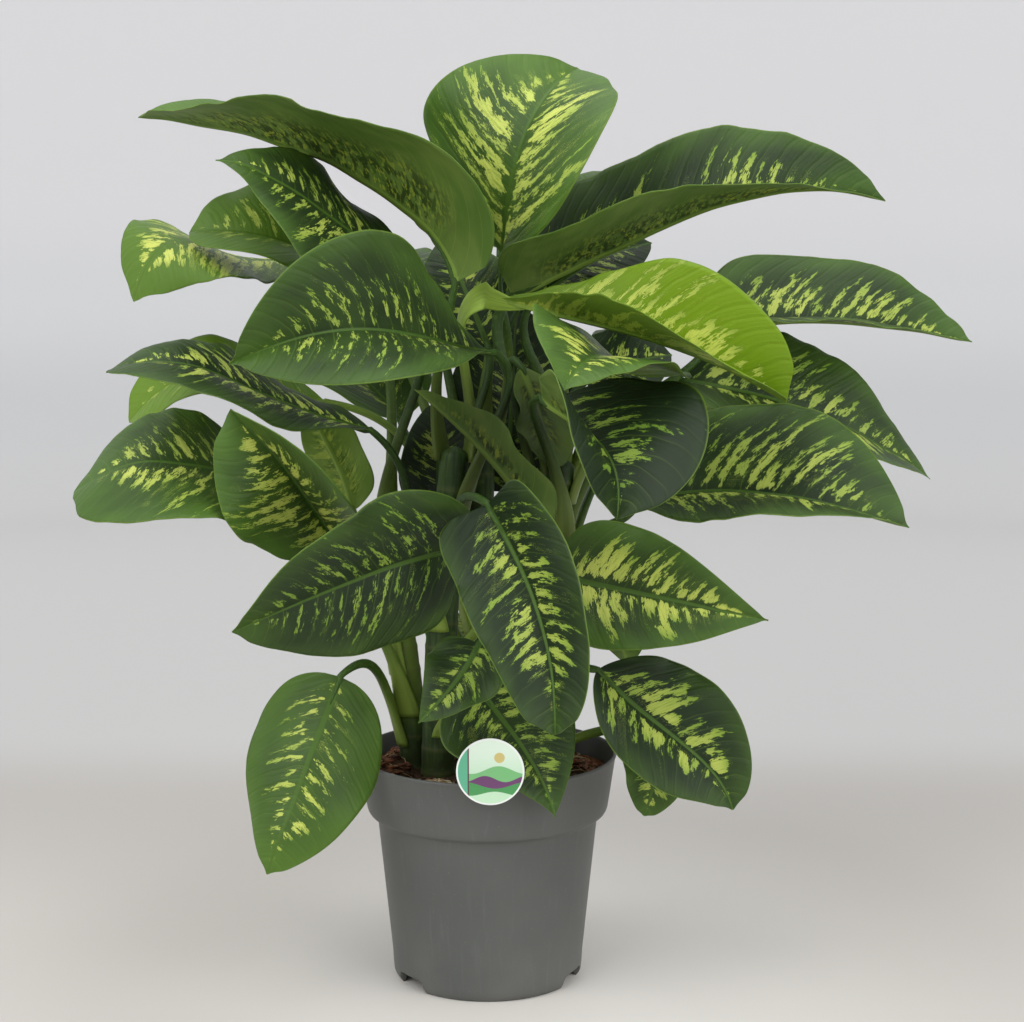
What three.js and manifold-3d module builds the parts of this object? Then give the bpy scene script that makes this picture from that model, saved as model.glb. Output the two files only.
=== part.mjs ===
// A potted dieffenbachia: a grey nursery pot filled with peat, five upright canes with large
// variegated leaves, and a small round label that hooks over the front rim.
// Sizes are in millimetres. The origin is on the pot's axis at the floor, and +Z is up.
// The viewer of the photograph looks along +Y.
import * as THREE from 'three';
import { mergeVertices } from 'three/addons/utils/BufferGeometryUtils.js';
import Module from 'manifold-3d';

const wasm = await Module();
wasm.setup();

// Driving dimensions of the pot
const POT_RIM_RADIUS = 105;
const POT_HEIGHT = 185.6;
const POT_FOOT_RADIUS = 74;
const POT_SEGMENTS = 36;
const POT_FLOOR_TOP = 14.5;
const POT_FLOOR_UNDERSIDE = 12;
const FOOT_DISC_RADIUS = 18;
const DRAIN_HOLES = 6;
const DRAIN_RADIUS = 4.5;
const DRAIN_CIRCLE = 50;
const NOTCH_AZIMUTHS = [96, 216, 336];
const NOTCH_WIDTH = 34;
const NOTCH_HEIGHT = 10.5;

// Gap between pieces that touch
const GAP = 0.3;

// Driving dimensions of the peat, the canes, the leaves and the label
const SOIL_CENTRE = 170;
const SOIL_EDGE = 165;
const CANE_BURIED = 112;
const CANE_SIDES = 12;
const BLADE_THICKNESS = 0.8;
const BLADE_ROWS = 9;
const BLADE_COLUMNS = [-1, -0.5, 0, 0.5, 1];
const STALK_RADIUS = 5.6;
const STALK_STEPS = 5;
const STALK_SIDES = 5;
const TAG_RADIUS = 26;
const TAG_CENTRE = [3.5, 199];
const TAG_FRONT = -117.2;
const TAG_THICKNESS = 1.2;
const TAG_STAKE_WIDTH = 12;
const TAG_STAKE_FRONT = -93.2;
const TAG_STAKE_BOTTOM = 146;

// Colours, roughness and metalness by material
const LOOKS = {
  pot: { color: 0x5f6462, roughness: 0.5, metalness: 0 },
  soil: { color: 0x3d2c20, roughness: 0.95, metalness: 0 },
  tag: { color: 0xcfe6cf, roughness: 0.35, metalness: 0 },
  cane: { color: 0x6f8a3f, roughness: 0.5, metalness: 0 },
  leaf: { color: 0x3c5a2c, roughness: 0.4, metalness: 0 },
  youngLeaf: { color: 0x7f9c35, roughness: 0.4, metalness: 0 },
};

// The upright stems: where each leaves the soil, how far it has leaned at its top, and its radius
const CANES = [
  { "name": "cane_left", "foot": [-60, 8], "lean": [-18, 5], "top": 330, "radius": 12 },
  { "name": "cane_front", "foot": [-40, -14], "lean": [15, 5], "top": 430, "radius": 14 },
  { "name": "cane_right", "foot": [48, -2], "lean": [12, 0], "top": 420, "radius": 13 },
  { "name": "cane_back", "foot": [-5, 50], "lean": [0, 12], "top": 430, "radius": 13 },
  { "name": "cane_back_right", "foot": [45, 50], "lean": [10, 10], "top": 425, "radius": 12 },
];

// Each leaf by its real place and size. cane is the row above that it grows from, node the height
// where its stalk leaves that cane and side the direction in which it leaves, in degrees from +X.
// base and tip are the ends of the midrib, face is roughly where the upper surface looks, and
// width is the widest span measured over the surface.
const LEAVES = [
  {"name": "leaf_drooping_left", "cane": 0, "node": 190, "side": 200,
    "base": [-113, -73, 263], "tip": [-168, -112, 117], "face": [-0.1, -0.93, 0.35],
    "width": 117, "arch": 0.07, "sweep": -0.01, "fold": [-14, -10], "shape": [0.48, 0.78],
    "rise": 0.5, "peak": 0.64, "curl": 30, "twist": 24},
  {"name": "leaf_left_mid", "cane": 0, "node": 215, "side": 250,
    "base": [-117, -41, 363], "tip": [-189, -112, 475], "face": [-0.31, -0.9, 0.32],
    "width": 122, "arch": 0.11, "fold": [42, 53], "curl": 11, "sweep": 0.07, "peak": 0.65,
    "shape": [0.73, 0.56], "twist": -18, "bend": 0.44, "rise": 0.32},
  {"name": "leaf_far_left", "cane": 0, "node": 247, "side": 220,
    "base": [-110, -16, 385], "tip": [-317, -65, 407], "face": [-0.32, -0.41, 0.85],
    "width": 137, "arch": 0.2, "fold": [-9, 6], "curl": 0, "shape": [0.9, 0.46], "sweep": -0.09,
    "peak": 0.66, "twist": -20, "drop": 0.54, "bend": 0.45},
  {"name": "leaf_left_under", "cane": 3, "node": 270, "side": 195,
    "base": [-133, 50, 466], "tip": [-293, 42, 450], "face": [-0.25, -0.45, 0.85],
    "width": 92, "arch": 0.24, "fold": [15, 15], "curl": 15, "shape": [0.9, 0.6], "drop": 0.24,
    "rise": 0.56, "bend": 0.39, "twist": -15, "peak": 0.6},
  {"name": "leaf_left_wide", "cane": 0, "node": 268, "side": 178,
    "base": [-91, -28, 451], "tip": [-290, -62, 498], "face": [-0.0, -0.32, 0.95],
    "width": 111, "arch": 0.13, "fold": [12, 11], "curl": 19, "rise": 0.26, "sweep": -0.07,
    "peak": 0.75, "shape": [0.85, 0.66], "twist": -6, "bend": 0.42, "drop": 0.53},
  {"name": "leaf_inner_pale", "cane": 0, "node": 235, "side": 110,
    "base": [-112, 62, 374], "tip": [-158, 100, 462], "face": [-0.2, 0.7, 0.7],
    "width": 58, "arch": 0.1, "fold": [10, 10]},
  {"name": "leaf_left_recurved", "cane": 3, "node": 330, "side": 205,
    "base": [-159, 107, 584], "tip": [-283, 21, 549], "face": [-0.36, -0.6, 0.71],
    "width": 142, "arch": 0.28, "peak": 0.75, "fold": [-4, -8], "curl": 0, "shape": [1.17, 0.69],
    "twist": -21},
  {"name": "leaf_left_behind", "cane": 0, "node": 310, "side": 110,
    "base": [-118, 67, 571], "tip": [-238, 28, 604], "face": [-0.1, -0.68, 0.72],
    "width": 110, "arch": 0.18, "fold": [30, 17], "curl": 13, "sweep": -0.06, "peak": 0.55,
    "shape": [0.72, 0.61], "twist": -6, "drop": 0.65},
  {"name": "leaf_left_upper", "cane": 0, "node": 318, "side": 200,
    "base": [-61, -14, 577], "tip": [-201, -81, 658], "face": [-0.21, -0.56, 0.8],
    "width": 148, "arch": 0.064, "fold": [4, 11], "curl": 30, "peak": 0.75, "shape": [0.77, 1.27],
    "twist": -18, "rise": 0.42, "drop": 0.69},
  {"name": "leaf_crown_left", "cane": 1, "node": 425, "side": 150,
    "base": [-24, -28, 566], "tip": [-276, 22, 694], "face": [0.2, 0.13, 0.97],
    "width": 190, "arch": 0.133, "peak": 0.4, "fold": [30, 29], "curl": 30, "twist": -50,
    "shape": [0.35, 0.73], "sweep": -0.01},
  {"name": "leaf_young", "cane": 1, "node": 423, "side": 20,
    "base": [-1, -11, 555], "tip": [228, -80, 477], "face": [-0.07, -0.53, 0.85],
    "width": 129, "arch": 0.12, "peak": 0.64, "fold": [58, 58], "curl": 0, "twist": 50,
    "shape": [1.57, 0.74], "young": 1, "sweep": 0.08},
  {"name": "leaf_big_left", "cane": 1, "node": 385, "side": 330,
    "base": [7, -25, 511], "tip": [-184, -155, 511], "face": [-0.16, -0.96, 0.25],
    "width": 143, "arch": 0.17, "fold": [50, 21], "curl": 3, "shape": [1.58, 1.06], "sweep": 0.05,
    "peak": 0.63, "twist": -40},
  {"name": "leaf_front", "cane": 1, "node": 330, "side": 285,
    "base": [2, -124, 405], "tip": [51, -205, 250], "face": [-0.35, -0.84, 0.42],
    "width": 104, "arch": 0.02, "sweep": -0.08, "fold": [32, 32], "curl": 0, "twist": -12,
    "shape": [0.2, 0.42], "peak": 0.54},
  {"name": "leaf_front_left", "cane": 1, "node": 290, "side": 245,
    "base": [-17, -99, 365], "tip": [-182, -181, 320], "face": [-0.11, -0.95, -0.31],
    "width": 131, "arch": 0.04, "fold": [12, 30], "curl": 30, "shape": [0.45, 0.74], "sweep": 0.065,
    "peak": 0.35, "twist": -18},
  {"name": "leaf_inner_folded", "cane": 1, "node": 250, "side": 330,
    "base": [45, -65, 375], "tip": [-55, -60, 485], "face": [0.5, 0.5, 0.7],
    "width": 60, "arch": 0.05, "fold": [40, 40]},
  {"name": "leaf_low_front", "cane": 1, "node": 220, "side": 263,
    "base": [-5, -91, 293], "tip": [-50, -133, 241], "face": [-0.14, -0.89, 0.43],
    "width": 61, "sweep": -0.07, "fold": [8, 12], "peak": 0.47, "shape": [0.44, 1.02], "curl": 18,
    "twist": -7, "bend": 0.41},
  {"name": "leaf_over_rim", "cane": 1, "node": 204, "side": 300,
    "base": [-6, -54, 249], "tip": [53, -116, 163], "face": [0.06, -0.71, 0.7],
    "width": 112, "arch": 0.02, "fold": [11, 14], "sweep": -0.05, "peak": 0.6,
    "shape": [0.43, 1.17], "curl": 0, "rise": 0.47, "bend": 0.24, "drop": 0.95, "twist": -5},
  {"name": "leaf_crown_right", "cane": 2, "node": 413, "side": 139,
    "base": [20, 25, 554], "tip": [306, -42, 628], "face": [-0.0, -0.4, 0.92],
    "width": 159, "arch": 0.09, "peak": 0.64, "fold": [42, 42], "curl": 5, "shape": [0.3, 0.74],
    "sweep": -0.03, "twist": 32, "rise": 0.29},
  {"name": "leaf_facing", "cane": 2, "node": 390, "side": 350,
    "base": [109, -33, 496], "tip": [56, -194, 495], "face": [0.16, -0.34, 0.93],
    "width": 131, "arch": 0.12, "fold": [12, 23], "curl": 12, "sweep": 0.02, "peak": 0.54,
    "shape": [0.56, 0.98], "twist": 7},
  {"name": "leaf_shaded", "cane": 2, "node": 360, "side": 301,
    "base": [43, -85, 481], "tip": [95, -180, 402], "face": [0.33, -0.79, 0.52],
    "width": 161, "arch": 0.12, "fold": [27, 53], "curl": 0, "shape": [0.92, 0.65], "sweep": -0.08,
    "peak": 0.63, "twist": 17, "rise": 0.43},
  {"name": "leaf_right_fan", "cane": 2, "node": 318, "side": 273,
    "base": [118, -12, 388], "tip": [318, -109, 385], "face": [-0.07, -0.81, 0.58],
    "width": 160, "arch": 0.02, "fold": [18, 58], "curl": 26, "sweep": -0.08, "peak": 0.43,
    "shape": [0.76, 0.95], "twist": -19, "rise": 0.66, "bend": 0.26, "drop": 0.55},
  {"name": "leaf_front_right", "cane": 2, "node": 280, "side": 290,
    "base": [53, -58, 340], "tip": [212, -122, 317], "face": [0.08, -0.94, 0.32],
    "width": 103, "arch": 0.06, "fold": [27, 14], "curl": 4, "shape": [0.53, 1.14], "sweep": 0.01,
    "peak": 0.45, "twist": 15},
  {"name": "leaf_low_right", "cane": 2, "node": 215, "side": 310,
    "base": [86, -80, 270], "tip": [189, -109, 167], "face": [0.11, -0.92, 0.37],
    "width": 103, "arch": 0.02, "sweep": -0.06, "fold": [17, 31], "curl": 10, "shape": [0.63, 0.73],
    "peak": 0.74, "twist": 21},
  {"name": "leaf_low_small", "cane": 2, "node": 186, "side": 350,
    "base": [130, -34, 206], "tip": [124, -60, 148], "face": [0.16, -0.94, 0.31],
    "width": 50, "arch": 0.12, "fold": [11, 12], "sweep": -0.06, "peak": 0.52,
    "shape": [0.42, 0.61], "curl": 14, "rise": 0.2},
  {"name": "leaf_inner_right", "cane": 2, "node": 375, "side": 180,
    "base": [28, -8, 498], "tip": [46, -28, 425], "face": [-0.55, 0.72, 0.42],
    "width": 53, "arch": 0.05, "fold": [-1, 9], "sweep": 0.11, "peak": 0.57, "shape": [0.53, 0.3],
    "curl": 21, "twist": -1, "rise": 0.44},
  {"name": "leaf_crown_top", "cane": 3, "node": 424, "side": 0,
    "base": [12, 26, 587], "tip": [73, 58, 735], "face": [0.0, -0.97, 0.24],
    "width": 190, "arch": 0.29, "sweep": -0.09, "fold": [-18, 58], "curl": 13,
    "shape": [0.96, 0.99], "peak": 0.54, "twist": 37, "rise": 0.65, "drop": 0.8},
  {"name": "leaf_under_crown_left", "cane": 3, "node": 400, "side": 200,
    "base": [0, 75, 510], "tip": [-38, 105, 598], "face": [-0.2, -0.7, 0.7],
    "width": 84, "arch": 0.1, "fold": [10, 10]},
  {"name": "leaf_back_top", "cane": 3, "node": 415, "side": 90,
    "base": [10, 100, 590], "tip": [10, 310, 640], "face": [0, 0.3, 1],
    "width": 120, "arch": 0.15, "fold": [20, 20]},
  {"name": "leaf_back_left_top", "cane": 3, "node": 370, "side": 140,
    "base": [-50, 110, 545], "tip": [-165, 280, 550], "face": [-0.2, 0.5, 1],
    "width": 120, "arch": 0.15, "fold": [20, 20]},
  {"name": "leaf_back_middle", "cane": 3, "node": 361, "side": 80,
    "base": [16, 100, 385], "tip": [24, 140, 540], "face": [0, -0.9, 0.3],
    "width": 112, "arch": 0.15, "fold": [20, 20], "twist": 0, "rise": 0.7, "bend": 0.36},
  {"name": "leaf_inner_left", "cane": 3, "node": 310, "side": 250,
    "base": [-40, 30, 370], "tip": [-45, 50, 465], "face": [0.2, -0.9, 0.3],
    "width": 66, "arch": 0.1, "fold": [15, 15]},
  {"name": "leaf_back_left", "cane": 3, "node": 290, "side": 150,
    "base": [-75, 110, 445], "tip": [-210, 250, 485], "face": [-0.2, 0.0, 1.0],
    "width": 140, "arch": 0.15, "fold": [20, 20]},
  {"name": "leaf_back_left_low", "cane": 3, "node": 235, "side": 170,
    "base": [-60, 100, 325], "tip": [-175, 230, 275], "face": [-0.3, 0.7, 0.7],
    "width": 110, "arch": 0.15, "fold": [20, 20]},
  {"name": "leaf_back_low", "cane": 3, "node": 200, "side": 90,
    "base": [-10, 110, 270], "tip": [-25, 240, 170], "face": [0, 0.8, 0.5],
    "width": 100, "arch": 0.15, "fold": [20, 20]},
  {"name": "leaf_under_crown_right", "cane": 4, "node": 425, "side": 300,
    "base": [35, 50, 545], "tip": [135, 75, 595], "face": [0, -0.7, 0.7],
    "width": 80, "arch": 0.1, "fold": [10, 10]},
  {"name": "leaf_back_right_top", "cane": 4, "node": 410, "side": 48,
    "base": [60, 100, 580], "tip": [190, 260, 640], "face": [0.2, 0.4, 1],
    "width": 120, "arch": 0.15, "fold": [20, 20]},
  {"name": "leaf_right_high", "cane": 4, "node": 385, "side": 20,
    "base": [189, 78, 521], "tip": [395, 47, 515], "face": [0.01, -0.41, 0.91],
    "width": 142, "arch": 0.02, "fold": [34, 32], "curl": 12, "sweep": -0.1, "peak": 0.43,
    "shape": [0.38, 0.91], "twist": 5},
  {"name": "leaf_inner_dark", "cane": 4, "node": 352, "side": 292,
    "base": [80, 32, 484], "tip": [150, 41, 505], "face": [0, -0.7, 0.7],
    "width": 80, "arch": 0.1, "fold": [10, 10], "drop": 0.14},
  {"name": "leaf_back_right", "cane": 4, "node": 335, "side": 45,
    "base": [110, 120, 505], "tip": [255, 260, 495], "face": [0.2, 0.6, 0.8],
    "width": 120, "arch": 0.15, "fold": [20, 20]},
  {"name": "leaf_right_outer", "cane": 4, "node": 290, "side": 294,
    "base": [162, 66, 482], "tip": [371, 82, 398], "face": [0.23, -0.62, 0.76],
    "width": 132, "arch": 0.13, "fold": [21, 25], "curl": 6, "sweep": 0.06, "shape": [0.5, 1.06],
    "twist": -6, "drop": 0.73, "bend": 0.37, "rise": 0.48},
  {"name": "leaf_back_right_low", "cane": 4, "node": 285, "side": 30,
    "base": [105, 110, 420], "tip": [265, 240, 395], "face": [0.3, 0.6, 0.8],
    "width": 120, "arch": 0.15, "fold": [20, 20]},
  {"name": "leaf_back_low_right", "cane": 4, "node": 240, "side": 45,
    "base": [60, 110, 305], "tip": [125, 190, 214], "face": [0.3, 0.7, 0.7],
    "width": 105, "arch": 0.15, "fold": [20, 20]},
];

// What a leaf has where its row says nothing. arch and sweep bow the midrib up and sideways as
// shares of its length, and peak is where along the leaf the bow is greatest. twist turns the
// tip against the base, and fold lifts the left and right halves into a valley, in degrees.
// curl bends each half down again towards its margin. shape holds the two powers of the outline.
// wave is the height of the margin's ripple and phase shifts it along. rise, bend and drop shape
// the stalk.
const PLAIN_LEAF = {
  arch: 0.1,
  sweep: 0,
  peak: 0.5,
  twist: 0,
  shape: [0.5, 0.8],
  fold: [25, 25],
  curl: 15,
  wave: 4,
  phase: 0,
  rise: 0.45,
  bend: 0.35,
  drop: 0.6,
  young: 0,
};

function radians(degrees) {
  return THREE.MathUtils.degToRad(degrees);
}

// A closed solid from corner coordinates and triangles, turned to face out
function solidFrom(coordinates, triangles) {
  const corner = (index) => new THREE.Vector3().fromArray(coordinates, 3 * index);
  let volume = 0;
  for (let i = 0; i < triangles.length; i += 3) {
    const [a, b, c] = [corner(triangles[i]), corner(triangles[i + 1]), corner(triangles[i + 2])];
    volume += a.dot(b.cross(c)) / 6;
  }
  const facing = [];
  for (let i = 0; i < triangles.length; i += 3) {
    const [a, b, c] = triangles.slice(i, i + 3);
    facing.push(a, ...(volume > 0 ? [b, c] : [c, b]));
  }
  const mesh = new wasm.Mesh({
    numProp: 3,
    vertProperties: new Float32Array(coordinates),
    triVerts: new Uint32Array(facing),
  });
  return new wasm.Manifold(mesh);
}

// A solid from a closed three.js geometry
function solidFromGeometry(geometry) {
  const bare = new THREE.BufferGeometry();
  bare.setAttribute('position', geometry.getAttribute('position'));
  bare.setIndex(geometry.getIndex());
  const merged = mergeVertices(bare, 1e-3);
  const corners = merged.getIndex().array;
  const kept = [];
  for (let i = 0; i < corners.length; i += 3) {
    const [a, b, c] = corners.slice(i, i + 3);
    if (a !== b && b !== c && c !== a) kept.push(a, b, c);
  }
  return solidFrom(Array.from(merged.getAttribute('position').array), kept);
}

function meshFrom(name, solid, look) {
  const result = solid.getMesh();
  const geometry = new THREE.BufferGeometry();
  geometry.setAttribute('position', new THREE.BufferAttribute(result.vertProperties, 3));
  geometry.setIndex(new THREE.BufferAttribute(result.triVerts, 1));
  geometry.computeVertexNormals();
  const mesh = new THREE.Mesh(geometry, new THREE.MeshStandardMaterial(LOOKS[look]));
  mesh.name = name;
  return mesh;
}

// A profile of radius and height turned round the upright axis
function turned(profile, segments) {
  const points = profile.map(([radius, height]) => new THREE.Vector2(radius, height));
  return new THREE.LatheGeometry(points, segments).rotateX(Math.PI / 2);
}

// A round rod whose radius changes along its path
function rod(path, radii, sides) {
  const coordinates = [];
  const triangles = [];
  const last = path.length - 1;
  let across = null;
  path.forEach((point, i) => {
    const ahead = path[Math.min(i + 1, last)];
    const behind = path[Math.max(i - 1, 0)];
    const along = ahead.clone().sub(behind).normalize();
    across = across ?? new THREE.Vector3(0.3, 0.9, 0.1).cross(along).normalize();
    across.addScaledVector(along, -across.dot(along)).normalize();
    const third = along.clone().cross(across);
    for (let j = 0; j < sides; j += 1) {
      const angle = (2 * Math.PI * j) / sides;
      const corner = point.clone();
      corner.addScaledVector(across, radii[i] * Math.cos(angle));
      corner.addScaledVector(third, radii[i] * Math.sin(angle));
      coordinates.push(...corner.toArray());
    }
  });
  coordinates.push(...path[0].toArray(), ...path[last].toArray());
  const firstCentre = path.length * sides;
  for (let j = 0; j < sides; j += 1) {
    const next = (j + 1) % sides;
    for (let i = 0; i < last; i += 1) {
      const [a, b] = [i * sides + j, i * sides + next];
      triangles.push(a, b, b + sides, a, b + sides, a + sides);
    }
    triangles.push(firstCentre, next, j);
    triangles.push(firstCentre + 1, last * sides + j, last * sides + next);
  }
  return solidFrom(coordinates, triangles);
}

// The axis of a cane leans further out with the square of its height above the soil
function caneAxis(cane, height) {
  const share = (height - 150) / (cane.top - 150);
  const x = cane.foot[0] + cane.lean[0] * share * share;
  const y = cane.foot[1] + cane.lean[1] * share * share;
  return new THREE.Vector3(x, y, height);
}

function caneSolid(cane, bottom, extra) {
  const path = [];
  const radii = [];
  const steps = 6;
  for (let i = 0; i <= steps; i += 1) {
    const height = bottom + ((cane.top - bottom) * i) / steps;
    path.push(caneAxis(cane, height));
    radii.push(cane.radius * (1 - (0.2 * i) / steps) + extra);
  }
  return rod(path, radii, CANE_SIDES);
}

// The midrib before its frame is worked out: the line from base to tip, bowed
function midrib(leaf, t) {
  const base = new THREE.Vector3(...leaf.base);
  const chord = new THREE.Vector3(...leaf.tip).sub(base);
  const length = chord.length();
  const along = chord.clone().normalize();
  const up = new THREE.Vector3(...leaf.face);
  up.addScaledVector(along, -up.dot(along)).normalize();
  const side = along.clone().cross(up);
  const s = t ** (Math.log(0.5) / Math.log(leaf.peak));
  const bow = length * 4 * s * (1 - s);
  const point = base.addScaledVector(chord, t);
  point.addScaledVector(up, bow * leaf.arch).addScaledVector(side, bow * leaf.sweep);
  return { point, up };
}

// A point of the blade's middle surface: t runs from base to tip and q from the left margin at -1
// to the right margin at 1, seen with the tip ahead and the upper surface towards the viewer
function bladePoint(leaf, t, q) {
  const step = 1e-4;
  const { point, up } = midrib(leaf, t);
  const along = midrib(leaf, Math.min(t + step, 1)).point;
  along.sub(midrib(leaf, Math.max(t - step, 1e-9)).point).normalize();
  const flatUp = up.addScaledVector(along, -up.dot(along)).normalize();
  const flatSide = along.clone().cross(flatUp);
  const turn = radians(leaf.twist) * (t - 0.5);
  const normal = flatUp.clone().multiplyScalar(Math.cos(turn));
  normal.addScaledVector(flatSide, Math.sin(turn));
  const side = along.clone().cross(normal);
  const [a, b] = leaf.shape;
  const widest = a / (a + b);
  const share = (t ** a * (1 - t) ** b) / (widest ** a * (1 - widest) ** b);
  const halfWidth = leaf.width / 2;
  const half = Math.max(halfWidth * share, 0.6);
  const hand = q >= 0 ? 1 : -1;
  const fold = radians(hand > 0 ? leaf.fold[1] : leaf.fold[0]);
  const curl = radians(leaf.curl);
  const out = (Math.abs(q) * half) / halfWidth;
  const slope = fold - curl * out;
  let away = halfWidth * out * Math.cos(fold);
  let lift = halfWidth * out * Math.sin(fold);
  if (Math.abs(curl) > 1e-3) {
    away = (halfWidth / curl) * (Math.sin(fold) - Math.sin(slope));
    lift = (halfWidth / curl) * (Math.cos(slope) - Math.cos(fold));
  }
  const ripple = Math.sin(4 * Math.PI * t + leaf.phase + (hand > 0 ? 1.3 : 0));
  lift += leaf.wave * q * q * ripple * (half / halfWidth);
  point.addScaledVector(side, hand * away).addScaledVector(normal, lift);
  const facing = normal.clone().multiplyScalar(Math.cos(slope));
  facing.addScaledVector(side, -hand * Math.sin(slope));
  return { point, facing, along };
}

// The blade: the middle surface thickened along its normals, split alike on both faces
function bladeSolid(leaf) {
  const columns = BLADE_COLUMNS.length;
  const upper = [];
  const lower = [];
  for (let i = 0; i < BLADE_ROWS; i += 1) {
    const even = i / (BLADE_ROWS - 1);
    const t = 0.65 * even + 0.35 * ((1 - Math.cos(Math.PI * even)) / 2);
    BLADE_COLUMNS.forEach((q) => {
      const { point, facing } = bladePoint(leaf, t, q);
      upper.push(...point.clone().addScaledVector(facing, BLADE_THICKNESS / 2).toArray());
      lower.push(...point.clone().addScaledVector(facing, -BLADE_THICKNESS / 2).toArray());
    });
  }
  const under = BLADE_ROWS * columns;
  const triangles = [];
  const margin = (a, b) => triangles.push(a, b, a + under, b, b + under, a + under);
  for (let i = 0; i < BLADE_ROWS - 1; i += 1) {
    for (let j = 0; j < columns - 1; j += 1) {
      const [a, b] = [i * columns + j, i * columns + j + 1];
      const [c, d] = [a + columns, b + columns];
      triangles.push(a, b, d, a, d, c);
      triangles.push(under + a, under + d, under + b, under + a, under + c, under + d);
    }
    margin(i * columns, (i + 1) * columns);
    margin((i + 2) * columns - 1, (i + 1) * columns - 1);
  }
  const lastRow = (BLADE_ROWS - 1) * columns;
  for (let j = 0; j < columns - 1; j += 1) {
    margin(j + 1, j);
    margin(lastRow + j, lastRow + j + 1);
  }
  return solidFrom([...upper, ...lower], triangles);
}

// The stalk leaves its cane upwards, bends over to meet the blade and runs out under its midrib
function stalkSolid(leaf) {
  const cane = CANES[leaf.cane];
  const away = new THREE.Vector3(Math.cos(radians(leaf.side)), Math.sin(radians(leaf.side)), 0);
  const start = caneAxis(cane, leaf.node).addScaledVector(away, 0.9 * cane.radius);
  const end = new THREE.Vector3(...leaf.base);
  const reach = start.distanceTo(end);
  const leaving = away.clone().multiplyScalar(0.25).add(new THREE.Vector3(0, 0, 1)).normalize();
  const arriving = bladePoint(leaf, 0, 0).along.add(new THREE.Vector3(0, 0, leaf.drop)).normalize();
  const first = start.clone().addScaledVector(leaving, reach * leaf.rise);
  const second = end.clone().addScaledVector(arriving, -reach * leaf.bend);
  const path = new THREE.CubicBezierCurve3(start, first, second, end).getPoints(STALK_STEPS);
  const radii = path.map((point, i) => STALK_RADIUS * (1 - (0.45 * i) / STALK_STEPS));
  const { point, facing } = bladePoint(leaf, 0.08, 0);
  path.push(point.addScaledVector(facing, -0.9));
  radii.push(0.275 * STALK_RADIUS);
  return rod(path, radii, STALK_SIDES);
}

function leafSolid(leaf) {
  const cane = CANES[leaf.cane];
  const whole = bladeSolid(leaf).add(stalkSolid(leaf));
  return whole.subtract(caneSolid(cane, CANE_BURIED, GAP));
}

// The pot: one thin moulding with a deep collar, a floor raised inside its skirt and a flat disc
// in the middle of the underside
function potSolid() {
  const profile = [
    [0, 0],
    [FOOT_DISC_RADIUS, 0],
    [FOOT_DISC_RADIUS, POT_FLOOR_UNDERSIDE],
    [71.5, POT_FLOOR_UNDERSIDE],
    [71.5, 0],
    [POT_FOOT_RADIUS, 0],
    [77, 5],
    [78, 20],
    [89.5, 132],
    [90.4, 134.8],
    [95.4, 137],
    [98.2, 141],
    [104.2, 182.5],
    [POT_RIM_RADIUS, 183.5],
    [POT_RIM_RADIUS, 185],
    [103.5, POT_HEIGHT],
    [102.4, 185],
    [96.4, 144],
    [87.5, 133],
    [75, POT_FLOOR_TOP],
    [0, POT_FLOOR_TOP],
  ];
  let pot = solidFromGeometry(turned(profile, POT_SEGMENTS));
  for (let i = 0; i < DRAIN_HOLES; i += 1) {
    const angle = (2 * Math.PI * (i + 0.5)) / DRAIN_HOLES;
    const hole = new THREE.CylinderGeometry(DRAIN_RADIUS, DRAIN_RADIUS, 20, 12);
    hole.rotateX(Math.PI / 2);
    hole.translate(DRAIN_CIRCLE * Math.cos(angle), DRAIN_CIRCLE * Math.sin(angle), 13);
    pot = pot.subtract(solidFromGeometry(hole));
  }
  // The arched notches in the skirt
  const arch = new THREE.Shape();
  const half = NOTCH_WIDTH / 2;
  arch.moveTo(-half, -5);
  arch.lineTo(half, -5);
  arch.lineTo(half, NOTCH_HEIGHT - 5);
  arch.quadraticCurveTo(half, NOTCH_HEIGHT, half - 5, NOTCH_HEIGHT);
  arch.lineTo(5 - half, NOTCH_HEIGHT);
  arch.quadraticCurveTo(-half, NOTCH_HEIGHT, -half, NOTCH_HEIGHT - 5);
  arch.closePath();
  const settings = { depth: 20, bevelEnabled: false, curveSegments: 4 };
  NOTCH_AZIMUTHS.forEach((azimuth) => {
    const notch = new THREE.ExtrudeGeometry(arch, settings);
    notch.rotateX(Math.PI / 2);
    notch.translate(0, -62, 0);
    notch.rotateZ(radians(azimuth + 90));
    pot = pot.subtract(solidFromGeometry(notch));
  });
  return pot;
}

// Height of the peat's surface: a low crown with a mound at the front and one at the left
function soilHeight(x, y) {
  const radius = Math.hypot(x, y);
  const crown = SOIL_CENTRE + (SOIL_EDGE - SOIL_CENTRE) * (radius / 100) ** 2;
  const front = 13 * Math.exp(-(((x + 42) / 24) ** 2) - ((y + 74) / 16) ** 2);
  const left = 12 * Math.exp(-(((x + 74) / 16) ** 2) - ((y - 20) / 38) ** 2);
  const right = 9 * Math.exp(-(((x - 78) / 16) ** 2) - ((y + 10) / 30) ** 2);
  return crown + front + left + right;
}

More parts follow.
